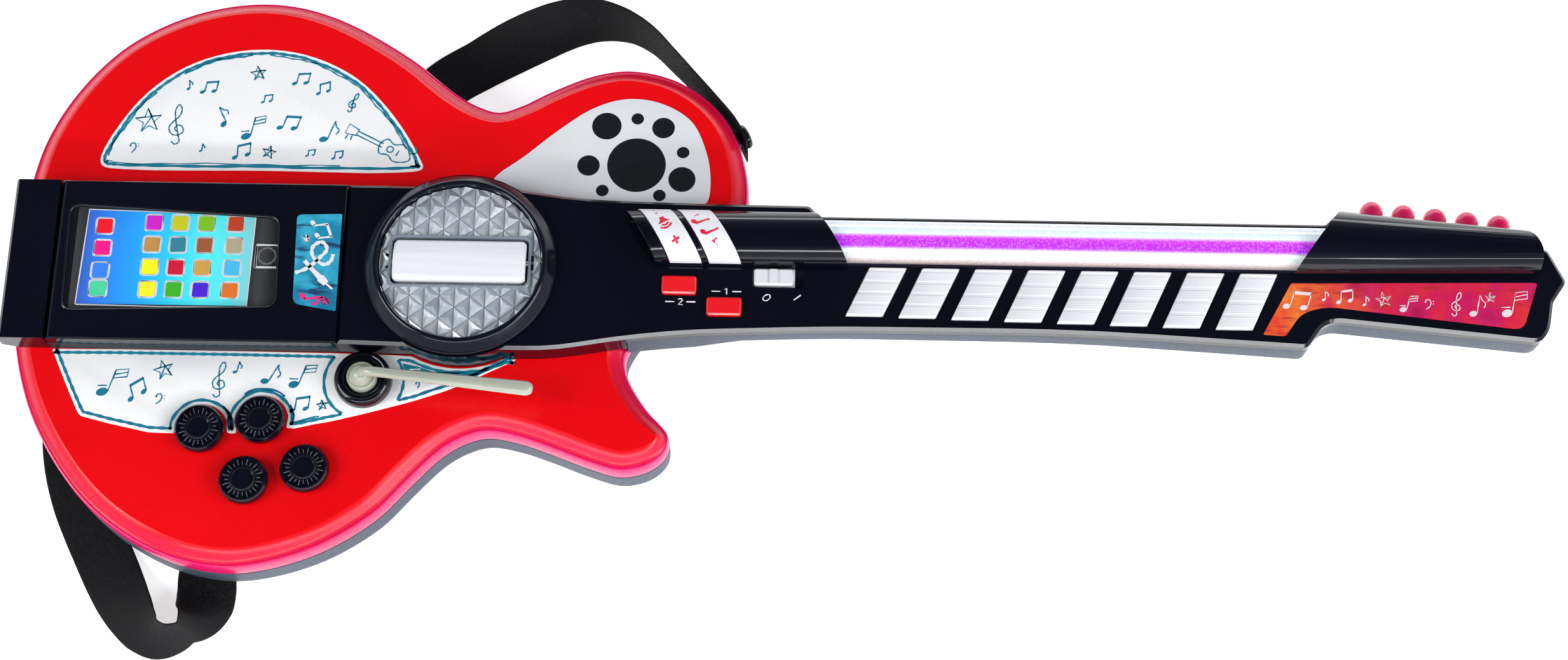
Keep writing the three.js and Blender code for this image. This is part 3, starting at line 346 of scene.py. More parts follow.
def spline(points, steps, closed=True):
    """A smooth curve through the points, in two or three dimensions."""
    points = [Vector(p) for p in points]
    count = len(points)
    curve = []
    for i in range(count if closed else count - 1):
        if closed:
            p = [points[(i + k) % count] for k in (-1, 0, 1, 2)]
        else:
            p = [points[max(0, min(count - 1, i + k))] for k in (-1, 0, 1, 2)]
        d = [max(1e-4, math.sqrt((b - a).length)) for a, b in zip(p, p[1:])]
        m1 = (p[1] - p[0]) / d[0] - (p[2] - p[0]) / (d[0] + d[1]) + (p[2] - p[1]) / d[1]
        m2 = (p[2] - p[1]) / d[1] - (p[3] - p[1]) / (d[1] + d[2]) + (p[3] - p[2]) / d[2]
        m1, m2 = m1 * d[1], m2 * d[1]
        for k in range(steps):
            t = k / steps
            curve.append(p[1] * (2 * t**3 - 3 * t**2 + 1) + m1 * (t**3 - 2 * t**2 + t)
                         + p[2] * (3 * t**2 - 2 * t**3) + m2 * (t**3 - t**2))
    if not closed:
        curve.append(points[-1])
    return [tuple(c) for c in curve]


def inset(outline, amount):
    """An anticlockwise outline moved inwards. amount is a number, or one for each point."""
    count = len(outline)
    amounts = amount if hasattr(amount, "__len__") else [amount] * count
    result = []
    for i, here in enumerate(outline):
        a = (Vector(here) - Vector(outline[i - 1])).normalized()
        b = (Vector(outline[(i + 1) % count]) - Vector(here)).normalized()
        normal = Vector((-a.y - b.y, a.x + b.x))
        result.append(tuple(Vector(here) + normal * (amounts[i] / max(0.6, 1 + a.dot(b)))))
    return result


def walls(rows, count, ring=False):
    """The faces over rows of points, closed at both ends, or as a ring whose last row joins the first."""
    faces = []
    for k in range(rows if ring else rows - 1):
        low, high = k * count, (k + 1) % rows * count
        for i in range(count):
            j = (i + 1) % count
            faces.append((low + i, low + j, high + j, high + i))
    if not ring:
        faces += [tuple(range(count))[::-1], tuple(range((rows - 1) * count, rows * count))]
    return faces


def loft(outline, levels):
    """A closed body stacked from copies of the outline at (height, inset) levels."""
    points = [(*p, z) for z, amount in levels for p in inset(outline, amount)]
    return points, walls(len(levels), len(outline))


def skirted(points, faces, floor):
    """A closed body: an open surface, with walls from its border down to a flat floor."""
    places = {}
    faces = [tuple(places.setdefault(points[i], len(places)) for i in face) for face in faces]
    points = list(places)
    border = borders(faces)[0]
    start, count = len(points), len(border)
    points += [(*points[i][:2], floor) for i in border]
    for k, here in enumerate(border):
        n = (k + 1) % count
        faces.append((border[n], here, start + k, start + n))
    faces.append(tuple(range(start, start + count)))
    return points, faces


def revolve(profile, sides=64):
    """A turned body about Z from (radius, height) points that begin and end on the axis or make a ring."""
    ring = profile[0][0] > 0
    points, faces, rows = [], [], []
    for radius, height in profile:
        if radius == 0:
            rows.append([len(points)] * sides)
            points.append((0.0, 0.0, height))
        else:
            rows.append(list(range(len(points), len(points) + sides)))
            angles = [TAU * k / sides for k in range(sides)]
            points += [(radius * math.cos(a), radius * math.sin(a), height) for a in angles]
    pairs = list(zip(rows, rows[1:])) + ([(rows[-1], rows[0])] if ring else [])
    for low, high in pairs:
        for k in range(sides):
            n = (k + 1) % sides
            face = [low[k], low[n], high[n], high[k]]
            faces.append(tuple(dict.fromkeys(face)))
    return points, faces


def box(x0, x1, y0, y1, z0, z1):
    return loft([(x0, y0), (x1, y0), (x1, y1), (x0, y1)], [(z0, 0), (z1, 0)])


def rounded_box(x0, x1, y0, y1, radius, steps=6):
    """An outline of a rectangle with round corners."""
    outline = []
    for x, y, turn in ((x1, y1, 0), (x0, y1, 1), (x0, y0, 2), (x1, y0, 3)):
        cx = x - radius if turn in (0, 3) else x + radius
        cy = y - radius if turn in (0, 1) else y + radius
        for k in range(steps + 1):
            angle = (turn + k / steps) * TAU / 4
            outline.append((cx + radius * math.cos(angle), cy + radius * math.sin(angle)))
    return outline


def pipe(path, radii, sides=16, squash=1.0):
    """A round bar along a path, with its ends closed."""
    path = [Vector(p) for p in path]
    points = []
    for i, here in enumerate(path):
        along = (path[min(i + 1, len(path) - 1)] - path[max(i - 1, 0)]).normalized()
        side = along.cross(Vector((0, 0, 1)))
        side = side.normalized() if side.length > 1e-3 else Vector((0, 1, 0))
        up = side.cross(along)
        for k in range(sides):
            angle = TAU * k / sides
            points.append(tuple(here + radii[i] * (side * math.cos(angle) + up * math.sin(angle) * squash)))
    return points, walls(len(path), sides)


def shown(name, data):
    """A new object in the scene."""
    obj = bpy.data.objects.new(name, data)
    bpy.context.scene.collection.objects.link(obj)
    return obj


def make(name, shape, material, body, stands_for=(), angle=35):
    """The object for a shape. It moves with a body and stands for CAD nodes."""
    mesh = bpy.data.meshes.new(name)
    mesh.from_pydata([tuple(c * MM for c in p) for p in shape[0]], [], shape[1])
    work = bmesh.new()
    work.from_mesh(mesh)
    bmesh.ops.recalc_face_normals(work, faces=work.faces)
    work.to_mesh(mesh)
    work.free()
    mesh.materials.append(material)
    mesh.shade_smooth()
    mesh.set_sharp_from_angle(angle=math.radians(angle))
    obj = shown(name, mesh)
    if body:
        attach(obj, body)
    if stands_for:
        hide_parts(*stands_for)
    return obj


def dress(node, material, width):
    """A CAD node shown as it is, with its own material and slightly rounded edges."""
    obj = NODES[node]
    obj.material_slots[0].material = material
    if "custom_normal" in obj.data.attributes:
        obj.data.attributes.remove(obj.data.attributes["custom_normal"])
    obj.data.shade_smooth()
    weld = obj.modifiers.new("weld", "WELD")
    weld.merge_threshold = 2e-6
    rounding = obj.modifiers.new("round_edges", "BEVEL")
    rounding.width = width * MM
    rounding.segments = 2
    rounding.limit_method = "ANGLE"
    rounding.angle_limit = math.radians(32)
    rounding.use_clamp_overlap = True
    obj.modifiers.new("even_shading", "WEIGHTED_NORMAL")


def carve(obj, shape, operation="DIFFERENCE"):
    """Cuts a shape out of an object, or keeps only what is inside it."""
    tool = make("tool", shape, STEEL, None)
    modifier = obj.modifiers.new("cut", "BOOLEAN")
    modifier.operation = operation
    modifier.solver = "EXACT"
    modifier.object = tool
    bpy.context.view_layer.update()
    result = bpy.data.meshes.new_from_object(obj.evaluated_get(bpy.context.evaluated_depsgraph_get()))
    obj.modifiers.clear()
    obj.data = result
    result.shade_smooth()
    result.set_sharp_from_angle(angle=math.radians(30))
    bpy.data.objects.remove(tool)
    return obj


# ---------- Drawings ----------

THICK = 0.09  # of printed ink


def stroke(path, width, surface, closed=False):
    """An inked line along (x, y) points. surface gives the height at a point. The line swells and thins."""
    path = [Vector(p[:2]) for p in path]
    count = len(path)
    points, faces = [], []
    phase = random.uniform(0, TAU)
    for i, here in enumerate(path):
        before = path[i - 1] if closed or i else here
        after = path[(i + 1) % count] if closed or i < count - 1 else here
        along = (after - before).normalized()
        half = Vector((-along.y, along.x)) * width * (0.5 + 0.12 * math.sin(i * 1.7 + phase))
        for x, y in (here - half, here + half):
            base = surface(x, y)
            points += [(x, y, base), (x, y, base + THICK)]
    for i in range(count if closed else count - 1):
        a, b = 4 * i, 4 * ((i + 1) % count)
        faces += [(a, a + 2, b + 2, b), (a + 1, b + 1, b + 3, a + 3), (a, b, b + 1, a + 1),
                  (a + 2, a + 3, b + 3, b + 2)]
    if not closed:
        last = 4 * (count - 1)
        faces += [(0, 1, 3, 2), (last, last + 2, last + 3, last + 1)]
    return points, faces


def blob(outline, surface):
    """A filled patch of ink."""
    outline = [p[:2] for p in outline]
    low = [(x, y, surface(x, y)) for x, y in outline]
    high = [(x, y, z + THICK) for x, y, z in low]
    return low + high, walls(2, len(outline))


def oval(x, y, rx, ry, tilt=0.0, count=14):
    turn = Matrix.Rotation(tilt, 2)
    return [tuple(Vector((x, y)) + turn @ Vector((rx * math.cos(TAU * k / count), ry * math.sin(TAU * k / count))))
            for k in range(count)]


# Each doodle is a list of (kind, points) in its own units, about one unit tall.
STAR = []
for k in range(10):
    reach = 0.21 if k % 2 else 0.5
    STAR.append((reach * math.sin(TAU * k / 10), reach * math.cos(TAU * k / 10)))
DOODLES = {
    "quaver": [
        ("blob", oval(0, -0.38, 0.17, 0.12, 0.5)), ("line", [(0.15, -0.34), (0.17, 0.1), (0.2, 0.5)]),
        ("curve", [(0.2, 0.5), (0.3, 0.3), (0.46, 0.16), (0.4, -0.04)]),
    ],
    "pair": [
        ("blob", oval(-0.4, -0.36, 0.16, 0.11, 0.5)), ("blob", oval(0.3, -0.24, 0.16, 0.11, 0.5)),
        ("line", [(-0.26, -0.34), (-0.2, 0.36)]), ("line", [(0.44, -0.22), (0.5, 0.48)]),
        ("blob", [(-0.22, 0.24), (0.5, 0.36), (0.52, 0.5), (-0.2, 0.38)]),
    ],
    "flagged": [
        ("blob", oval(-0.22, -0.4, 0.2, 0.14, 0.4)), ("line", [(-0.04, -0.36), (0.1, 0.42)]),
        ("loop", [(0.1, 0.42), (0.52, 0.5), (0.5, 0.22), (0.06, 0.12)]),
        ("line", [(0.1, 0.26), (0.5, 0.38)]), ("line", [(-0.42, -0.2), (-0.1, -0.16)]),
    ],
    "star": [
        ("loop", STAR), ("line", [STAR[0], STAR[4]]), ("line", [STAR[2], STAR[8]]), ("line", [STAR[6], STAR[1]]),
    ],
    "clef": [("curve", [
        (-0.12, -0.42), (-0.04, -0.5), (0.06, -0.44), (0.04, -0.3), (-0.04, 0.16), (-0.04, 0.38), (0.04, 0.5),
        (0.1, 0.4), (0.06, 0.22), (-0.1, 0.06), (-0.18, -0.08), (-0.12, -0.24), (0.04, -0.27), (0.15, -0.17),
        (0.1, -0.04), (0.0, -0.03), (-0.05, -0.12), (0.01, -0.18),
    ])],
    "bass": [
        ("curve", [(-0.2, 0.1), (-0.1, 0.24), (0.08, 0.24), (0.16, 0.06), (0.08, -0.16), (-0.16, -0.36)]),
        ("blob", oval(-0.17, 0.1, 0.06, 0.06)), ("blob", oval(0.3, 0.14, 0.035, 0.035)),
        ("blob", oval(0.3, -0.02, 0.035, 0.035)),
    ],
    "guitar": [
        ("hoop", [(-0.5, 0.12), (-0.34, 0.18), (-0.2, 0.12), (-0.04, 0.16), (0.04, 0.0), (-0.04, -0.16),
                  (-0.2, -0.12), (-0.36, -0.2), (-0.54, -0.1), (-0.6, 0.02)]),
        ("hoop", oval(-0.18, 0.0, 0.06, 0.06, 0, 8)), ("line", [(-0.02, 0.04), (0.52, 0.05)]),
        ("line", [(-0.02, -0.04), (0.52, -0.03)]), ("line", [(-0.34, -0.06), (-0.34, 0.06)]),
        ("loop", [(0.52, 0.07), (0.72, 0.12), (0.74, -0.08), (0.52, -0.06)]),
        ("line", [(0.58, 0.1), (0.56, 0.2)]), ("line", [(0.66, 0.12), (0.66, 0.22)]),
        ("curve", [(-0.54, -0.1), (-0.64, -0.17), (-0.58, -0.26)]),
    ],
}


def doodle(kind, x, y, size, turn, surface, width=0.72):
    """A hand-drawn sign at (x, y)."""
    matrix = Matrix.Translation((x, y, 0)) @ Matrix.Rotation(math.radians(turn), 4, "Z") @ Matrix.Scale(size, 4)
    shapes = []
    for way, points in DOODLES[kind]:
        placed = [tuple((matrix @ Vector((*p, 0))).xy) for p in points]
        if way == "blob":
            shapes.append(blob(placed, surface))
        elif way in ("line", "curve"):
            steps = 4 if way == "line" else 5
            shapes.append(stroke(spline(placed, steps, False), width, surface))
        else:
            loop = placed if way == "loop" else spline(placed, 4)
            shapes.append(stroke(loop, width, surface, True))
    return joined(*shapes)


def doodles(rows, surface, width=0.72):
    """Signs from rows of (kind, x, y, size, turn)."""
    return [doodle(*row, surface, width) for row in rows]


def level(z):
    """A flat surface to draw on."""
    return lambda x, y: z


# ---------- The body ----------

CAP_TOP = top_of("body_front_shell")
FRONT_LOW = limits("body_front_shell")[0].z
SEAM = FRONT_LOW - 0.3
SHOULDER = 10.0  # from the flat front out to the side wall
EDGE = spline(inset(outlines_of("body_front_shell", CAP_TOP)[0], -SHOULDER), 4)

front_levels = [
    (FRONT_LOW + 0.5, 0.6), (FRONT_LOW + 0.8, 0.1), (29, 0), (33, 0.2), (35.3, 0.7), (36.2, 1.3), (36.2, 2.2),
    (36.7, 3.2), (37.6, 4.3), (38.9, 5.6), (40.3, 7.1), (41.4, 8.6), (CAP_TOP, 9.8),
]
# The rim is narrower round the tight tip of the lower horn.
NARROW = [1 - 0.3 * math.exp(-((math.dist(p, (114, -89)) / 13) ** 2)) for p in EDGE]
front_levels = [(z, [amount * n for n in NARROW]) for z, amount in front_levels]
make("red_front", loft(EDGE, front_levels), RED, "guitar", ["body_front_shell"], 17)
# A dull black strip along the seam between the red and grey shells: painted shadow of the gap between them.
make("seam_shadow_line", loft(EDGE, [(SEAM - 0.6, 0.45), (FRONT_LOW + 0.9, 0.45)]), DULL_BLACK, "guitar")
back_levels = [(3, 6), (3.4, 4), (4.4, 2.2), (6.2, 0.8), (9, 0.1), (12, 0), (SEAM - 0.3, 0), (SEAM, 0.3)]
body_back = make("grey_back", loft(EDGE, back_levels), GREY, "guitar", ["body_back_shell"], 50)
GAP = 0.4  # round the battery door
door_low, door_high = limits("battery_door")
tail_low, tail_high = limits("strap_button_tail")
carve(body_back, box(door_low.x - GAP, door_high.x + GAP, door_low.y - GAP, door_high.y + GAP, -1, 9))
carve(body_back, box(tail_low.x - 10.5, tail_high.x + 10.5, tail_low.y - 33.5, tail_high.y + 10.5, -1, 7.2))
pads = []
for pad in outlines_of("body_back_shell", 0.0):
    foot = revolve([(0, 0), (7.6, 0), (8.4, 0.5), (9.4, 2.2), (10, 3.6), (0, 3.6)], 40)
    pads.append(shifted(foot, *centre_of(pad)))
make("back_rest_pads", joined(*pads), GREY, "guitar")


SCREW_HEAD = revolve([(0, 0.9), (1.1, 0.9), (1.2, 0.1), (2.6, 0), (3.2, 0.6), (3.2, 2), (0, 2)], 24)
SCREWS = ((-100, 140), (-225, 30), (-110, -140), (60, 110), (125, 40), (95, -90), (0, 60))
make("case_screws", joined(*[shifted(SCREW_HEAD, x, y, 3.1) for x, y in SCREWS]), STEEL, "guitar")
dress("battery_door", GREY, 0.3)
for number in (1, 2, 3):
    dress(f"battery_{number}", STEEL, 0.4)
dress("main_circuit_board", CIRCUIT, 0.15)
dress("key_circuit_board", CIRCUIT, 0.15)
dress("speaker_driver", DULL_BLACK, 0.3)


# ---------- The drawn plates ----------


def plate(node, steps):
    """A drawn plate's outline, the height of its face, and its shape with a softened edge."""
    top = top_of(node)
    outline = spline(outlines_of(node, top)[0], steps)
    shape = loft(outline, [(top - 1.2, 0), (top - 0.35, 0), (top - 0.1, 0.14), (top, 0.35)])
    return outline, top, shape


def drawn_border(outline, top, parts, panels=None):
    """A hand-drawn teal line inside the edge, with loose second strokes along parts of it.

    panels turns the line's path into the closed paths to draw.
    """
    surface = level(top)
    count = len(outline)
    wobble = [2.4 + 0.14 * math.sin(i * 0.61) + 0.12 * math.sin(i * 0.23 + 1) for i in range(count)]
    path = inset(outline, wobble)
    shapes = [stroke(loop, 1.6, surface, True) for loop in (panels(path) if panels else [path])]
    for start, end, depth, width in parts:
        path = inset(outline, [depth + 0.35 * math.sin(i * 0.37) + 0.2 * math.sin(i * 1.13) for i in range(count)])
        a, b = int(start * count), int(end * count)
        shapes.append(stroke([path[i % count] for i in range(a, b)], width, surface))
    return shapes


outline, top, shape = plate("upper_plate", 6)
make("upper_drawn_plate", shape, PLATE, "guitar", ["upper_plate"], 40)
shapes = drawn_border(outline, top, [
    (0.02, 0.16, 3.5, 0.9), (0.2, 0.42, 3.7, 0.6), (0.45, 0.6, 3.4, 1.0), (0.62, 0.86, 3.8, 0.7),
    (0.88, 0.98, 3.5, 1.0),
])
shapes += doodles([
    ("star", -121.8, 119, 9, 10), ("pair", -97.5, 116, 9, -5), ("pair", -84.8, 110.5, 8, 8),
    ("clef", -67.5, 102, 12, -18), ("quaver", -160.5, 111, 6, 10), ("pair", -148.3, 110, 9, -4),
    ("pair", -115.7, 103.5, 6, 0), ("star", -180.2, 89, 15, 8), ("clef", -164.3, 87, 24, 3),
    ("quaver", -140.8, 91.5, 12, 30), ("flagged", -122.5, 86, 14, 0),
    ("pair", -102.2, 89, 11, -12), ("quaver", -81.1, 84.5, 14, -16), ("guitar", -50, 76.5, 30, 152),
    ("bass", -187, 73, 9, 12), ("quaver", -149.9, 73, 5, 0), ("pair", -127, 71.5, 10, 6), ("star", -112, 71, 8, -12),
    ("pair", -89, 71, 5, 0), ("pair", -74, 70, 6, 0),
], level(top))
make("upper_plate_drawings", joined(*shapes), TEAL_INK, "guitar")

outline, top, shape = plate("pickguard", 3)
make("lower_drawn_plate", shape, PLATE, "guitar", ["pickguard"], 40)
SOCKET = middle_of("whammy_socket") * Vector((1, 1, 0))
RADIUS = limits("whammy_socket")[1].x - SOCKET.x


def two_panels(path):
    """The parts of the path left and right of the whammy socket, each closed by an arc round it."""
    dense = []
    for a, b in zip(path, path[1:] + path[:1]):
        pieces = max(1, int(math.dist(a, b) / 1.5))
        dense += [tuple(Vector(a).lerp(Vector(b), k / pieces)) for k in range(pieces)]
    path = dense
    reach = RADIUS + 5.9
    panels = []
    for side in (-1, 1):
        kept = [(p[0] - SOCKET.x) * side > 0 and math.dist(p, SOCKET.xy) > reach for p in path]
        first = next(i for i in range(len(path)) if kept[i] and not kept[i - 1])
        run = []
        while kept[first % len(path)] and len(run) < len(path):
            run.append(path[first % len(path)])
            first += 1
        ends = [math.atan2(p[1] - SOCKET.y, p[0] - SOCKET.x) for p in (run[-1], run[0])]
        if side < 0:
            ends = [a % TAU for a in ends]
        turns = [ends[0] + (ends[1] - ends[0]) * k / 16 for k in range(17)]
        panels.append(run + [(SOCKET.x + reach * math.cos(a), SOCKET.y + reach * math.sin(a)) for a in turns])
    return panels


loose = [(0.0, 0.05, 3.6, 1.2), (0.06, 0.12, 3.4, 1.0), (0.9, 0.98, 3.4, 1.1)]
shapes = drawn_border(outline, top, loose, two_panels)
shapes += doodles([
    ("clef", -127, -62, 20, -4), ("star", -157.4, -57, 11, 20), ("flagged", -185, -64, 16, -6),
    ("pair", -171, -68.5, 11, 24), ("bass", -158.3, -73, 9, 0), ("quaver", -119, -55, 7, -8),
    ("quaver", -101, -58, 13, -24),
    ("flagged", -83.5, -59, 14, -8), ("star", -71.2, -75.5, 6, 10), ("pair", -83, -75.2, 10, 0),
    ("bass", -21, -63, 5, 20),
], level(top))
patch = [(-30, -51.2), (-22, -52.8), (-13, -55.6), (10, -56), (23, -51.8), (27.6, -49.4), (19, -53.2), (10, -57.8),
         (2, -60.4), (-6, -60), (-18, -58.4), (-28, -56.2)]
shapes.append(blob(patch, level(top)))
scratch = [(-26, -54.6), (-20, -54.2), (-23, -56.6), (-15, -56.2), (-17, -58.2), (-9, -57), (-11, -58.8), (-2, -57.6),
           (-4, -59.2), (5, -57.6)]
make("lower_plate_scratches", stroke(scratch, 0.7, level(top + 0.06)), WHITE_INK, "guitar")
make("lower_plate_drawings", joined(*shapes), TEAL_INK, "guitar")

# The speaker grille: a thick pale plate whose holes show a black perforated sheet.
grille_top = top_of("speaker_grille")
loops = outlines_of("speaker_grille", grille_top)
outline = spline(loops[0], 4)
grille = make("pale_grille", loft(outline, [(grille_top - 1.2, 0), (grille_top - 0.4, 0), (grille_top - 0.1, 0.15),
                                            (grille_top, 0.5)]), PALE, "guitar", ["speaker_grille"], 40)
cloth, rims = [], []
for hole in loops[1:]:
    cx, cy = centre_of(hole)
    radius = max(math.hypot(p[0] - cx, p[1] - cy) for p in hole)
    carve(grille, shifted(revolve([(0, 30), (radius, 30), (radius, 60), (0, 60)], 48), cx, cy))
    cloth.append(shifted(revolve([(0, 41.9), (radius + 0.1, 41.9), (radius + 0.1, 42.2), (0, 42.2)], 40), cx, cy))
    for row in range(-9, 10):
        for column in range(-9, 10):
            x = (column + 0.5 * (row % 2)) * 1.9
            y = row * 1.65
            if math.hypot(x, y) < radius - 0.8:
                rim = revolve([(0.5, 42.2), (0.75, 42.2), (0.75, 42.45), (0.5, 42.45)], 8)
                rims.append(shifted(rim, cx + x, cy + y))
make("speaker_mesh", joined(*cloth, *rims), DULL_BLACK, "guitar")


# ---------- Knobs ----------

for number in range(1, 5):
    node = f"knob_{number}"
    low, high = limits(node)
    cx, cy, radius = (low.x + high.x) / 2, (low.y + high.y) / 2, (high.x - low.x) / 2
    base = CAP_TOP + 1
    profile = [(0, -3), (radius - 0.6, -3), (radius - 0.6, 0), (radius, 0.5), (radius, 2.8), (radius - 0.4, 4.4),
               (radius - 1.2, 5.3), (radius - 2.0, 5.3), (radius - 2.7, 4.2), (7.6, 4.4), (7.0, 6.2), (6.4, 6.8),
               (5.6, 6.6), (5.2, 6.0), (0, 6.2)]
    body = revolve([(r, base + z) for r, z in profile], 72)
    tooth = box(radius - 0.5, radius, -0.35, 0.35, base + 0.6, base + 3.4)
    grips = [moved(tooth, Matrix.Rotation(TAU * k / 36, 4, "Z")) for k in range(36)]
    make(f"ribbed_{node}", shifted(joined(body, *grips), cx, cy), BLACK, f"{node}_body", [node], 30)
    # The ribs are real fins, coloured lighter grey as a painted highlight along their edges.
    ribs = []
    rib_levels = [(base + 4.0, 0), (base + 5.0, 0), (base + 5.1, 0.08)]
    for k in range(24):
        outer = radius - (2.3 if k % 2 else 3.6)
        rib = loft(rounded_box(7.2, outer, -0.17, 0.17, 0.12, 2), rib_levels)
        ribs.append(moved(rib, Matrix.Rotation(TAU * (k + 0.3) / 24, 4, "Z")))
    make(f"ribs_of_{node}", shifted(joined(*ribs), cx, cy), RIB_HIGHLIGHT, f"{node}_body")


# ---------- The whammy bar ----------

socket = revolve([
    (8.2, 42.6), (RADIUS, 42.6), (RADIUS, 46.4), (RADIUS - 0.5, 48.2), (RADIUS - 1.5, 49.4), (RADIUS - 2.6, 49.9),
    (12.2, 49.6), (11.6, 48.6), (11.0, 48.6), (10.4, 49.2), (9.8, 48.8), (9.2, 46.0), (8.6, 43.6),
], 96)
make("socket_cup", moved(socket, Matrix.Translation(SOCKET)), BLACK, "guitar", ["whammy_socket"], 30)
hub = revolve([
    (0, 40), (8.1, 40), (8.1, 50.6), (7.8, 52.0), (7.2, 52.6), (6.6, 52.2), (6.0, 52.4), (5.4, 54.4), (4.2, 56.4),
    (2.4, 57.6), (0, 58),
], 64)
make("whammy_swivel_hub", moved(hub, Matrix.Translation(SOCKET)), CLOUDY, "whammy_hub_body", ["whammy_hub"], 40)
low, high = limits("whammy_arm")
TIP = Vector((high.x - 4.0, low.y + 4.0, high.z - 4.0))
START = SOCKET + Vector((0.5, 0, 56.0))
KNEE = SOCKET + Vector((6.5, -0.8, 61.0))
path = spline([START, START + Vector((1.6, -0.1, 2.8)), KNEE, KNEE.lerp(TIP, 0.1)], 5, False)
path = [Vector(p) for p in path] + [KNEE.lerp(TIP, t) for t in (0.2, 0.4, 0.6, 0.8, 1.0)]
radii = [3.0] * 5 + [2.7] * (len(path) - 10) + [2.9, 3.15, 3.4, 3.7, 3.95]
along = (TIP - KNEE).normalized()
for k in range(1, 7):
    angle = TAU / 4 * k / 6
    path.append(TIP + along * 3.95 * math.sin(angle) ** 1.4)
    radii.append(max(0.3, 3.95 * math.cos(angle) ** 0.6))
arm = pipe(path, radii, 28, 0.92)
make("whammy_bar", arm, CLOUDY, "whammy_arm_body", ["whammy_arm"], 60)


# ---------- The phone dock ----------

FACE = top_of("phone_lid")
dress("dock_end_cap", BLACK, 1.0)
dress("phone_tray", DULL_BLACK, 0.4)
dress("phone_lid", BLACK, 0.35)
dress("lid_hinge_pin", STEEL, 0.1)
dress("lid_window", CLEAR, 0.2)
dress("lid_label", TEAL_PRINT, 0.1)
window = spline(outlines_of("phone_lid", FACE)[1], 1)
rim = inset(window, -0.9)
ring_levels = [(rim, FACE - 0.4), (rim, FACE + 0.15), (inset(window, -0.4), FACE + 0.3), (window, FACE + 0.1),
               (inset(window, 0.4), FACE - 0.5), (inset(window, 0.4), FACE - 0.9), (window, FACE - 0.9)]
points = [(*p, z) for loop, z in ring_levels for p in loop]
make("window_rim", (points, walls(len(ring_levels), len(window), True)), BLACK, "lid", angle=40)

card_top = top_of("phone_card")
SCREEN_LOW, SCREEN_HIGH = (-204.0, -25.0), (-112.6, 28.5)
SCREEN = bands("phone_screen", "X", SCREEN_LOW[0] * MM, SCREEN_HIGH[0] * MM, [
    (0.0, (0.03, 0.12, 0.55)), (0.12, (0.02, 0.22, 0.90)), (0.3, (0.01, 0.35, 0.95)), (0.5, (0.02, 0.60, 0.90)),
    (0.72, (0.08, 0.85, 0.90)), (0.9, (0.10, 0.75, 0.78)), (1.0, (0.25, 0.60, 0.65)),
], 0.35)
glow(SCREEN, 0.22)
BEZEL = bands("phone_bezel", "X", -0.214, -0.094, [
    (0.0, (0.006, 0.006, 0.008)), (0.04, (0.05, 0.05, 0.055)), (0.1, (0.010, 0.010, 0.012)),
    (0.84, (0.012, 0.013, 0.015)), (0.88, (0.045, 0.05, 0.052)), (0.94, (0.006, 0.006, 0.008)),
    (1.0, (0.008, 0.008, 0.010)),
], 0.4)
dress("phone_card", BEZEL, 0.1)
corners = [(-205.5, -24.8), (-113.2, -24.6), (-113.0, 27.2), (-203.6, 29.6)]
make("phone_screen", loft(corners, [(card_top, 0), (card_top + 0.06, 0)]), SCREEN, "lid")
on_card = level(card_top + 0.07)
ICON_COLORS = [
    (0.80, 0.00, 0.01), (0.62, 0.01, 0.55), (0.60, 0.62, 0.01), (0.22, 0.55, 0.01), (0.55, 0.05, 0.01),
    (0.86, 0.00, 0.22), (0.50, 0.26, 0.06), (0.03, 0.22, 0.32), (0.35, 0.10, 0.03), (0.45, 0.38, 0.24),
    (0.03, 0.20, 0.85), (0.95, 0.90, 0.00), (0.60, 0.00, 0.03), (0.62, 0.34, 0.06), (0.06, 0.48, 0.85),
    (0.06, 0.62, 0.30), (0.90, 0.80, 0.01), (0.04, 0.42, 0.01), (0.06, 0.01, 0.62), (0.70, 0.16, 0.01),
]
ICON_X = (-193.9, -167.4, -153.4, -139.1, -123.2)
ICON_Y = (22.6, 9.9, -3.2, -15.9)
edges = []
for index, color in enumerate(ICON_COLORS):
    x = ICON_X[index % 5]
    y = ICON_Y[index // 5] - (2.4 if index % 5 == 0 and index < 15 else 0)
    square = rounded_box(x - 4.1, x + 4.1, y - 4.1, y + 4.1, 1.0, 3)
    tint = glow(plastic(f"sign_{index + 1}", color, 0.35, 0.15), 0.2)
    make(f"phone_sign_{index + 1}", blob(square, on_card), tint, "lid")
    for grow in (0.35, 0.8):
        jitter = [-grow + random.uniform(-0.22, 0.22) for _ in square]
        edges.append(stroke(inset(square, jitter), 0.55, on_card, True))
home = rounded_box(-110.9, -99.4, -2.3, 10.6, 0.5, 2)
edges.append(stroke(home[:9], 1.0, on_card))
edges.append(stroke([home[i % len(home)] for i in range(5, 11)], 1.3, on_card))
edges.append(stroke([(-205.2, -25.2), (-204.4, -5), (-203.2, 29.8), (-160, 28.8), (-113, 27.6)], 0.6, on_card))
edges.append(stroke([(-204.8, -25.3), (-160, -25.8), (-113.4, -25.3), (-113.2, 0), (-112.8, 27.4)], 0.6, on_card))
make("phone_outlines", joined(*edges), WHITE_INK, "lid")
ring = [stroke(oval(-104.9, 4.3, 4.6, 4.6, 0, 36), 1.0, level(card_top + 0.1), True)]
make("phone_button", joined(*ring), plastic("phone_button", (0.16, 0.17, 0.18), 0.3), "lid")
on_label = level(top_of("lid_label"))
cable = spline([(-88.5, -6), (-82, -3), (-76, 3), (-72.5, 8), (-75.5, 12), (-80, 9.5), (-80, 4), (-73.5, -1),
                (-70, 1), (-69, 5)], 6, False)
plug = [stroke(cable, 1.9, on_label), stroke([(-84, 1), (-79, -4.5), (-75, -8.5)], 2.6, on_label),
        stroke([(-75, -8.5), (-71.5, -12)], 3.6, on_label), stroke([(-71.5, -12), (-68, -15)], 1.2, on_label)]
make("lid_label_plug", joined(*plug), WHITE_INK, "lid")
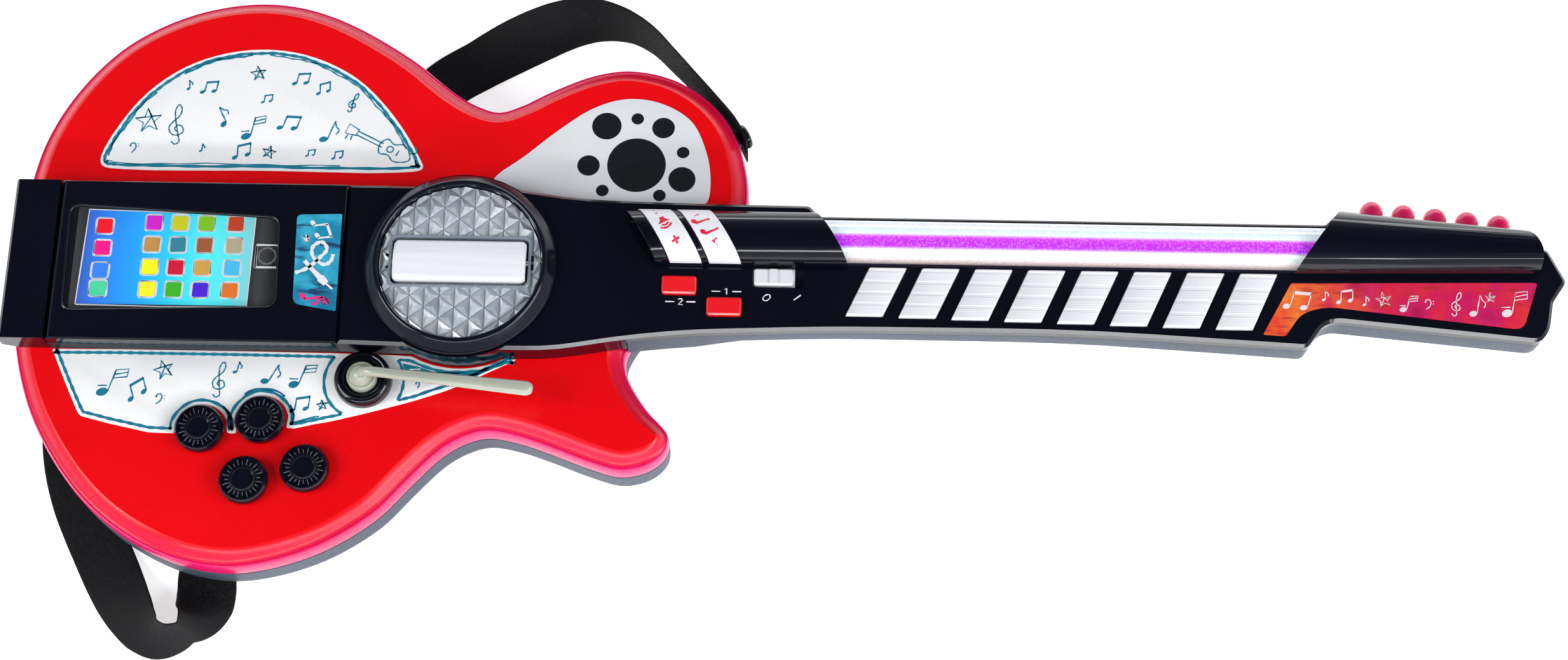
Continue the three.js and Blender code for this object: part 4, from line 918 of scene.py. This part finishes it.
make("lid_label_notes", joined(
    doodle("pair", -76.5, 19.5, 11, -78, on_label, 1.1), doodle("star", -84, 14, 5, 0, on_label, 0.7),
), WHITE_INK, "lid")
make("lid_label_pink", joined(
    doodle("quaver", -79, -18.5, 12, -80, on_label, 1.4), doodle("star", -71, -22, 5, 15, on_label, 0.7),
), PINK_INK, "lid")


# ---------- The strum disc ----------

low, high = limits("strum_ring")
OUT = high.x
ring = revolve([
    (43.7, 58.3), (OUT, 58.3), (OUT, 59.6), (OUT - 0.3, 60.3), (OUT - 1.0, 61.0), (47.0, 65.2), (46.2, 65.9),
    (45.4, 66.2), (44.7, 66.2), (44.1, 65.8), (43.8, 65.0),
], 144)
make("disc_ring", ring, RING_BLACK, "guitar", ["strum_ring"], 28)
disc_top = top_of("strum_diffuser")
PITCH, STEP, FIRST_X, FIRST_Y = 8.1, 12.7, -1.7, -0.3
VALLEY = disc_top - 2.6
DISC_RADIUS, DISC_FLOOR = 43.2, 58.4
points, faces, grooves = [], [], []


def corner(i, k):
    """A corner of the pressed triangle pattern: line i across, place k along it."""
    shift = 0.5 if i % 2 else 0.0
    return (FIRST_X + i * PITCH, FIRST_Y + (k + shift) * STEP, VALLEY)


def groove(a, b, width):
    """A dark line between two corners, painted shade in the groove where the facets meet, left out where the disc
    ends or the strum bar sits.
    """
    steps = 16
    for k in range(steps):
        p, q = Vector(a).lerp(Vector(b), k / steps), Vector(a).lerp(Vector(b), (k + 1) / steps)
        centre = (p + q) / 2
        if centre.xy.length < DISC_RADIUS - 0.6 and not (abs(centre.x) < 37 and abs(centre.y) < 13.6):
            grooves.append(stroke([p, q], width, level(VALLEY)))


for i in range(-6, 7):
    for k in range(-5, 5):
        lean = 0 if i % 2 else -1
        across = corner(i + 1, k + lean + 1)
        right_pointing = [corner(i, k), corner(i, k + 1), across]
        left_pointing = [across, corner(i + 1, k + lean), corner(i, k)]
        for corners, rise in ((right_pointing, 2.4), (left_pointing, 1.1)):
            middle = sum((Vector(c) for c in corners), Vector()) / 3
            start = len(points)
            points += corners + [(middle.x, middle.y, VALLEY + rise)]
            faces += [(start + a, start + b, start + 3) for a, b in ((0, 1), (1, 2), (2, 0))]
        groove(corner(i, k), corner(i, k + 1), 0.55)
        groove(corner(i, k), across, 0.3)
        groove(corner(i, k + 1), across, 0.3)
shape = skirted(points, faces, DISC_FLOOR)
SILVER, tree, shader, coords = node_tree("silver_plastic")
streak = noise(tree, coords, 60.0, 3.0)
speckle = noise(tree, coords, 500.0, 3.0)
silver = ramp(tree, streak, [(0.3, (0.50, 0.54, 0.58)), (0.5, (0.66, 0.70, 0.74)), (0.7, (0.76, 0.79, 0.82))])
coat_of(tree, shader, silver, speckle, 0.2, 0.8, 0.12, 0.26)
bump(tree, shader, speckle, 0.08, 0.0003)
finish_of(shader, metallic=0.55, coat_weight=0.8)
# Grey-blue strips along the facet edges: painted shade in the grooves.
make("disc_groove_shade", joined(*grooves), plastic("groove_painted_shade", (0.16, 0.19, 0.23), 0.3), "guitar")
disc = make("disc_diffuser", shape, SILVER, "guitar", ["strum_diffuser"], 12)
carve(disc, revolve([(0, 50), (DISC_RADIUS, 50), (DISC_RADIUS, 80), (0, 80)], 96), "INTERSECT")
low, high = limits("strum_bar")
carve(disc, loft(rounded_box(low.x - 1.3, high.x + 1.3, low.y - 1.7, high.y + 1.7, 3), [(50, 0), (80, 0)]))
disc.data.set_sharp_from_angle(angle=math.radians(8))
hollow = rounded_box(low.x - 1.2, high.x + 1.2, low.y - 1.6, high.y + 1.6, 3)
make("strum_slot_floor", loft(hollow, [(57.6, -0.6), (58.0, -0.6)]), DULL_BLACK, "guitar")
dress("strum_pin", STEEL, 0.1)
frame_levels = [(1.2, 58.6), (1.2, disc_top - 1.0), (1.5, disc_top - 0.5), (2.3, disc_top - 0.4),
                (2.7, disc_top - 0.9), (2.7, 58.6)]
points = []
for reach, z in frame_levels:
    loop = rounded_box(low.x - reach, high.x + reach, low.y - reach - 0.4, high.y + reach + 0.4, 3)
    points += [(*p, z) for p in loop]
FRAME_GREY = plastic("frame_plastic", (0.22, 0.25, 0.30), 0.25, 0.1, coat_weight=0.5)
make("strum_frame", (points, walls(len(frame_levels), len(loop), True)), FRAME_GREY, "guitar", angle=40)

# The strum bar has a soft crease along its upper third, and slopes away beyond it.
half = high.y
rows, columns = 28, 48
points, faces = [], []
for column in range(columns + 1):
    x = low.x + (high.x - low.x) * column / columns
    end = min(1.0, min(x - low.x, high.x - x) / 2.0)
    crease = 4.6 + 0.9 * math.cos(TAU * x / 80)
    for k in range(rows):
        y = -half + 2 * half * k / (rows - 1)
        edge = 1.3 * (1 - min(1, (half - abs(y)) / 1.6)) ** 2
        beyond = max(0.0, y - crease)
        slope = 0.34 * beyond + 0.35 * math.exp(-((y - crease) / 0.7) ** 2)
        ripple = 0.06 * math.sin(y * 1.1 + x * 0.05)
        pull = 1 - 0.10 * (1 - end) ** 2
        z = high.z - 0.4 - edge - min(slope, 2.1) - 0.006 * y * y + ripple
        points.append((x, y * pull, z - 1.2 * (1 - end) ** 2))
for column in range(columns):
    for k in range(rows - 1):
        a = column * rows + k
        faces.append((a, a + rows, a + rows + 1, a + 1))
make("strum_bar_cap", skirted(points, faces, 60.0), WHITE, "strum", ["strum_bar"], 50)


# ---------- The neck ----------

dress("neck_front_shell", BLACK, 0.5)
dress("neck_back_shell", GREY, 0.8)
low, high = limits("light_tube")
AXIS_Y, AXIS_Z, TUBE = (low.y + high.y) / 2, (low.z + high.z) / 2, (high.z - low.z) / 2


def along_x(shape, x):
    """A turned body laid along the light tube, from x on."""
    return moved(shape, Matrix.Translation((x, AXIS_Y, AXIS_Z)) @ Matrix.Rotation(TAU / 4, 4, "Y"))


length = high.x - low.x
tube = revolve([(TUBE - 1.8, 0), (TUBE, 0), (TUBE, length), (TUBE - 1.8, length)], 96)
make("clear_tube", along_x(tube, low.x), CLEAR, "guitar", ["light_tube"], 40)
# Bands across the tube's width: the magenta and pale tints are the film's colours, and the white band near 0.70 is a
# painted highlight along the tube.
FILM = bands("iridescent_film", "Y", (AXIS_Y - TUBE) * MM, (AXIS_Y + TUBE) * MM, [
    (0.07, (0.55, 0.45, 0.42)), (0.11, (0.85, 0.74, 0.80)), (0.15, (0.66, 0.86, 0.80)), (0.19, (0.88, 0.84, 0.90)),
    (0.225, (0.74, 0.88, 0.86)), (0.245, (0.60, 0.35, 0.86)), (0.28, (0.45, 0.03, 0.82)), (0.38, (0.50, 0.02, 0.88)),
    (0.46, (0.62, 0.05, 0.80)), (0.50, (0.72, 0.40, 0.90)), (0.53, (0.78, 0.92, 0.97)), (0.64, (0.66, 0.78, 0.84)),
    (0.70, (0.90, 0.94, 0.96)), (0.78, (0.55, 0.60, 0.68)), (0.84, (0.86, 0.89, 0.92)), (0.92, (0.45, 0.48, 0.52)),
], 0.26, 0.16, coat_weight=0.4)
# The glow is painted light: it brightens the film where it lies in shade inside the tube.
glow(FILM, 0.4)
film_length = length - 8
film = revolve([(0, 0), (TUBE - 2.0, 0), (TUBE - 2.0, film_length), (0, film_length)], 96)
make("tube_film_liner", along_x(film, low.x + 4), FILM, "guitar", ["tube_film"], 40)
dress("tube_housing", BLACK, 0.3)
dress("headstock_label", RED_PRINT, 0.1)


BUTTON_RADIUS = 15.9


def curve(x, y):
    """The height of the half-round buttons' faces above (x, y)."""
    return AXIS_Z + math.sqrt(max(0.0, BUTTON_RADIUS ** 2 - (y - AXIS_Y) ** 2))


dress("volume_button", WHITE, 0.4)
dress("mode_button", WHITE, 0.4)
speaker = [(-2.6, -1.3), (-1.0, -1.3), (1.2, -3.3), (1.2, 3.3), (-1.0, 1.3), (-2.6, 1.3)]


def placed_at(x, y, points, turn):
    """Points of a flat sign, turned by degrees and moved to (x, y)."""
    spin = Matrix.Rotation(math.radians(turn), 2)
    return [tuple(Vector((x, y)) + spin @ Vector(p)) for p in points]


arc = [[(0.6 + r * math.cos(a), r * math.sin(a)) for a in [(k - 4) * 0.22 for k in range(9)]] for r in (2.4, 4.2)]
signs = [blob(placed_at(108.6, 21.6, speaker, -60), curve)]
signs += [stroke(placed_at(108.6, 21.6, line, -60), 0.95, curve) for line in arc]
plus = ([(-2.2, 0), (2.2, 0)], [(0, -2.2), (0, 2.2)])
signs += [stroke(placed_at(115.6, 11, line, -60), 1.1, curve) for line in plus]
signs.append(stroke(placed_at(103.8, 28.2, [(-1.9, 0), (1.9, 0)], -60), 1.1, curve))
make("volume_signs", joined(*signs), RED_INK, "volume")
signs = [doodle("pair", 130.8, 19.4, 11, -60, curve, 1.1)]
signs.append(blob(placed_at(125.4, 27.2, [(-2.0, -1.7), (2.0, 0), (-2.0, 1.7)], 120), curve))
signs.append(blob(placed_at(137.2, 9.8, [(-2.0, -1.7), (2.0, 0), (-2.0, 1.7)], -60), curve))
make("mode_signs", joined(*signs), RED_INK, "mode")
dress("beat_button_1", BUTTON_RED, 0.5)
dress("beat_button_2", BUTTON_RED, 0.5)
dress("power_slider", WHITE, 0.3)

face_top = level(FACE)
DIGIT_1 = [(-0.7, 0.8), (0.1, 1.3), (0.1, -1.3)]
DIGIT_2 = [(-0.8, 0.8), (-0.3, 1.3), (0.5, 1.2), (0.8, 0.6), (-0.8, -1.25), (0.9, -1.25)]
marks = []
for digit, x, y in ((DIGIT_2, 118.5, -19), (DIGIT_1, 143, -12.7)):
    marks.append(stroke([(x + a * 1.4, y + b * 1.35) for a, b in digit], 0.62, face_top))
    for side in (-1, 1):
        marks.append(stroke([(x + side * 3.2, y), (x + side * 8, y)], 0.7, face_top))
marks.append(stroke(placed_at(164.6, -15.9, oval(0, 0, 1.5, 2.2), -52), 0.6, face_top, True))
marks.append(stroke(placed_at(181, -15.6, [(0, -2.4), (0, 2.4)], -52), 0.7, face_top))
make("console_marks", joined(*marks), WHITE_INK, "guitar")


def note_key(node):
    """A key whose top has four bands of fine ridges across it, parted by smooth bands."""
    low, high = limits(node)
    slant = 0.46
    height = high.y - low.y
    width = high.x - low.x - slant * height
    rows = []
    steps = 100
    for k in range(steps + 1):
        y = low.y + height * k / steps
        place = (k / steps) * 4.3 % 1.0
        ridge = 0.06 * math.cos((k / steps) * TAU * 25) if 0.12 < place < 0.88 else -0.28
        edge = min(y - low.y, high.y - y)
        rows.append((y, high.z - 0.2 + ridge * 0.9 - 1.0 * max(0, 1 - edge / 0.9) ** 2))
    columns = [(0, -1.1), (0.3, -0.35), (0.9, 0), (width - 0.9, 0), (width - 0.3, -0.35), (width, -1.1)]
    points = []
    for u, drop in columns:
        points += [(low.x + u + slant * (y - low.y), y, z + drop) for y, z in rows]
    count = len(rows)
    faces = [(c * count + k, (c + 1) * count + k, (c + 1) * count + k + 1, c * count + k + 1)
             for c in range(5) for k in range(count - 1)]
    return skirted(points, faces, low.z)


for number in range(1, 9):
    node = f"key_{number}"
    make(f"ridged_{node}", note_key(node), WHITE, f"{node}_body", [node], 40)

on_label = level(top_of("headstock_label"))
signs = doodles([
    ("pair", 449, -12.5, 13, -14), ("quaver", 463, -9.5, 6, 0), ("pair", 474.5, -9.8, 9, 0),
    ("quaver", 484.6, -12, 6, 0), ("star", 495.2, -11.2, 9, 10), ("flagged", 508, -13, 10, -8),
    ("bass", 519, -13, 9, 0), ("clef", 534.2, -13, 14, -14), ("quaver", 543.5, -13.5, 13, -10),
    ("star", 552.5, -9, 6, 0), ("flagged", 564.5, -12, 15, -4),
], on_label, 0.52)
make("headstock_drawings", joined(*signs), plastic("rose_ink", (0.86, 0.74, 0.74), 0.4), "guitar")
dress("headstock_cover", BLACK, 0.4)

TUNER_OUT = Vector((0.0995, 0.995, 0)).normalized()
TUNER_RADIUS, DOME, TUNER_LENGTH = 6.4, 7.1, 20.9
profile = [(0, 3), (4.4, 3), (4.4, 6), (TUNER_RADIUS, 6), (TUNER_RADIUS, 13.8)]
for k in range(1, 10):
    angle = TAU / 4 * k / 10
    profile.append((TUNER_RADIUS * math.cos(angle), 13.8 + DOME * math.sin(angle)))
profile.append((0, TUNER_LENGTH))
turn = Vector((0, 0, 1)).rotation_difference(TUNER_OUT).to_matrix().to_4x4()
for number in range(1, 6):
    node = f"tuner_button_{number}"
    place = Matrix.Translation(middle_of(node) - TUNER_OUT * TUNER_LENGTH / 2) @ turn
    make(f"domed_{node}", moved(revolve(profile, 48), place), TUNER_RED, f"{node}_body", [node], 40)


# ---------- The strap ----------

# Points along the strap's middle, each with its bank: 0 degrees lies flat and 90 stands on edge.
ROUTE = [
    (151.9, 84.8, 24, 90), (148.3, 92.4, 24, 90), (144, 99.5, 24, 90), (138.2, 106.8, 24, 90),
    (120.5, 127.6, 24, 90), (108.9, 140.4, 24, 88), (97.6, 152.5, 23.5, 86), (86.4, 160.7, 22, 82),
    (75.1, 165.7, 19.5, 74), (63.9, 168.2, 17, 64), (52.8, 168.1, 14.5, 54), (41.8, 166, 12, 44),
    (30.8, 162.3, 9.5, 33), (19.8, 157.8, 7, 22), (8.9, 152.6, 4.6, 12), (-2.1, 146.6, 2.4, 3),
    (-24.5, 131.5, 1.1, 0), (-52, 92, 1.1, 0), (-80, 30, 1.1, 0), (-104, -40, 1.1, 0), (-124, -110, 1.1, 0),
    (-131, -140, 1.1, 0), (-133, -159, 1.4, 0), (-132, -169, 3.5, 10), (-131.6, -178.5, 8, 28),
    (-133.5, -187.5, 14, 58), (-138.5, -194, 16, 82), (-146, -197.5, 15.5, 72), (-155, -197, 13.6, 56),
    (-163.5, -191, 10.6, 40), (-171, -181.5, 7.5, 26), (-177.5, -171.5, 4.6, 14), (-183.5, -161, 2.4, 5),
    (-190.5, -148, 1.2, 0), (-197.6, -134.5, 1.1, 0), (-205, -119, 1.1, 0), (-211.5, -100, 1.1, 0),
    (-215, -82, 1.1, 0), (-215.5, -66, 2.2, 0), (-214.6, -52, 4.2, 0), (-214, -36, 4.6, 0),
    (-214, -23, 4.6, 0),
]
WIDTH, THICKNESS, WEAVE, STEPS = 31.0, 1.0, 2.4, 16
line = [Vector(p[:3]) for p in spline([r[:3] for r in ROUTE], STEPS, False)]
banks = []
for a, b in zip(ROUTE, ROUTE[1:]):
    banks += [a[3] + (b[3] - a[3]) * k / STEPS for k in range(STEPS)]
banks.append(ROUTE[-1][3])
reach = [0.0]
for a, b in zip(line, line[1:]):
    reach.append(reach[-1] + (b - a).length)
STRAP_LENGTH = reach[-1]


def strap_at(s):
    """The middle, direction across and normal of the strap at a distance from the horn's end."""
    i = max(0, min(len(reach) - 2, next((k for k in range(len(reach)) if reach[k] > s), len(reach)) - 1))
    t = (s - reach[i]) / (reach[i + 1] - reach[i])
    centre = line[i].lerp(line[i + 1], t)
    here = (line[i + 1] - line[max(0, i - 1)]).normalized()
    there = (line[min(len(line) - 1, i + 2)] - line[i]).normalized()
    along = here.lerp(there, t).normalized()
    bank = math.radians(banks[i] + (banks[i + 1] - banks[i]) * t)
    flat = Vector((-along.y, along.x, 0)).normalized()
    across = flat * math.cos(bank) - Vector((0, 0, math.sin(bank)))
    return centre, across, along.cross(across).normalized()


def strap_shape():
    """The strap's woven surface, and for each face whether it is the crown of a thread, which gets a painted
    highlight.
    """
    steps = int(STRAP_LENGTH / 0.8)
    lanes = 38
    points, faces, crowns = [], [], []
    weave = []
    for i in range(steps + 1):
        s = STRAP_LENGTH * i / steps
        centre, across, normal = strap_at(s)
        widths = [(k / lanes - 0.5) * WIDTH for k in range(lanes + 1)]
        weave.append([math.sin(TAU * s / WEAVE) * math.sin(TAU * u / WEAVE) for u in widths])
        for side in (1, -1):
            for k, u in enumerate(widths):
                edge = max(0.0, 1 - (WIDTH / 2 - abs(u)) / 1.2)
                lift = THICKNESS / 2 + 0.17 * weave[i][k] * (1 - edge) - 0.2 * edge
                p = centre + across * u + normal * side * lift
                points.append((p.x, p.y, max(p.z, 0.15)))
    row = lanes + 1
    for i in range(steps):
        a, b = i * 2 * row, (i + 1) * 2 * row
        for k in range(lanes):
            faces.append((a + k, b + k, b + k + 1, a + k + 1))
            faces.append((a + row + k, a + row + k + 1, b + row + k + 1, b + row + k))
            height = (weave[i][k] + weave[i + 1][k] + weave[i][k + 1] + weave[i + 1][k + 1]) / 4
            crowns += [height > 0.42] * 2
        faces.append((a, a + row, b + row, b))
        faces.append((a + lanes, b + lanes, b + row + lanes, a + row + lanes))
        crowns += [False, False]
    last = steps * 2 * row
    for k in range(lanes):
        faces.append((k, k + 1, row + k + 1, row + k))
        faces.append((last + k, last + row + k, last + row + k + 1, last + k + 1))
        crowns += [False, False]
    return (points, faces), crowns


WEBBING, tree, shader, coords = node_tree("webbing")
thread = noise(tree, coords, 900.0, 6.0)
dark = ramp(tree, thread, [(0.35, (0.003, 0.003, 0.004)), (0.6, (0.008, 0.008, 0.009)), (0.72, (0.02, 0.02, 0.022))])
coat_of(tree, shader, dark, thread, 0.3, 0.7, 0.45, 0.85)
finish_of(shader, specular_ior_level=0.15)
bump(tree, shader, thread, 0.3, 0.0003)
# Lighter grey on the threads' crowns: painted sparkle highlights on the weave.
THREAD_CROWN_HIGHLIGHT = plastic("webbing_crown_highlight", (0.05, 0.055, 0.055), 0.5, 0.5, grain=1200.0, texture=0.3, specular_ior_level=0.3)
shape, crowns = strap_shape()
strap = make("woven_strap", shape, WEBBING, "guitar", ["strap"], 80)
strap.data.materials.append(THREAD_CROWN_HIGHLIGHT)
strap.data.polygons.foreach_set("material_index", [int(crown) for crown in crowns])

root = Vector((146.1, 91.1, middle_of("strap_button_horn").z))
turn = Matrix.Translation(root) @ Matrix.Rotation(0.5, 4, "Z") @ Matrix.Rotation(TAU / 4, 4, "Y")
horn = revolve([
    (0, -7), (2.6, -7), (2.6, -1.0), (4.6, -0.8), (4.7, 0.6), (4.2, 1.3), (2.6, 1.5), (2.6, 3.7), (6.6, 3.8),
    (7.1, 4.4), (7.1, 5.6), (6.4, 6.6), (4.6, 7.3), (2.4, 7.0), (1.6, 6.4), (0, 6.4),
], 56)
make("horn_button", moved(horn, turn), BLACK, "guitar", ["strap_button_horn"], 30)
dress("strap_button_tail", BLACK, 0.3)


# ---------- Floor, light and camera ----------


def stage_floor():
    mesh = bpy.data.meshes.new("floor")
    size = 6.0
    mesh.from_pydata([(-size, -size, 0), (size, -size, 0), (size, size, 0), (-size, size, 0)], [], [(0, 1, 2, 3)])
    made, _, shader, _ = node_tree("floor")
    finish_of(shader, base_color=(0.93, 0.93, 0.93, 1), roughness=0.9)
    finish_of(shader, emission_color=(1, 1, 1, 1), emission_strength=0.66)
    mesh.materials.append(made)
    obj = shown("floor", mesh)
    obj.location = (0.1, 0, -0.0003)


def light(name, place, aim, size, power):
    data = bpy.data.lights.new(name, "AREA")
    data.shape = "RECTANGLE"
    data.size, data.size_y = size
    data.energy = power
    obj = shown(name, data)
    obj.location = place
    obj.rotation_euler = (Vector(aim) - Vector(place)).to_track_quat("-Z", "Y").to_euler()


stage_floor()
middle = (0.17, 0.0, 0.04)
light("left", (-1.5, -0.5, 1.3), middle, (1.2, 1.0), 25)
light("right", (1.9, -0.5, 1.3), middle, (1.2, 1.0), 25)
light("front", (0.1, -1.6, 0.9), middle, (2.4, 0.14), 14)
light("waist", (1.5, -1.25, 0.95), (-0.02, -0.12, 0.04), (0.7, 0.4), 7)
light("rear", (0.2, 1.6, 0.45), middle, (2.6, 0.25), 9)
world = bpy.data.worlds.new("studio")
world.use_nodes = True
tree = world.node_tree
height = axis_of(tree, tree.nodes.new("ShaderNodeTexCoord").outputs["Generated"], "Z")
sky = ramp(tree, height, [
    (0.0, (0.9, 0.92, 0.95)), (0.35, (0.42, 0.45, 0.50)), (0.72, (0.10, 0.11, 0.14)), (1.0, (0.035, 0.04, 0.06)),
])
tree.links.new(sky, tree.nodes["Background"].inputs["Color"])
tree.nodes["Background"].inputs["Strength"].default_value = 1.0
scene = bpy.context.scene
scene.world = world
scene.view_settings.view_transform = "Standard"

camera_data = bpy.data.cameras.new("camera")
camera_data.sensor_width = 36
camera_data.lens = 58.37
camera = shown("camera", camera_data)
tilt, roll, distance = math.radians(70), math.radians(0.95), 1.368
back = Vector((0, -math.cos(tilt), math.sin(tilt)))
right = Vector((1, 0, 0))
up = back.cross(right)
across = right * math.cos(roll) + up * math.sin(roll)
above = up * math.cos(roll) - right * math.sin(roll)
place = Vector((0.1742, -0.0294, 0.045)) + back * distance
camera.matrix_world = Matrix((
    (across.x, above.x, back.x, place.x), (across.y, above.y, back.y, place.y), (across.z, above.z, back.z, place.z),
    (0, 0, 0, 1),
))
scene.camera = camera
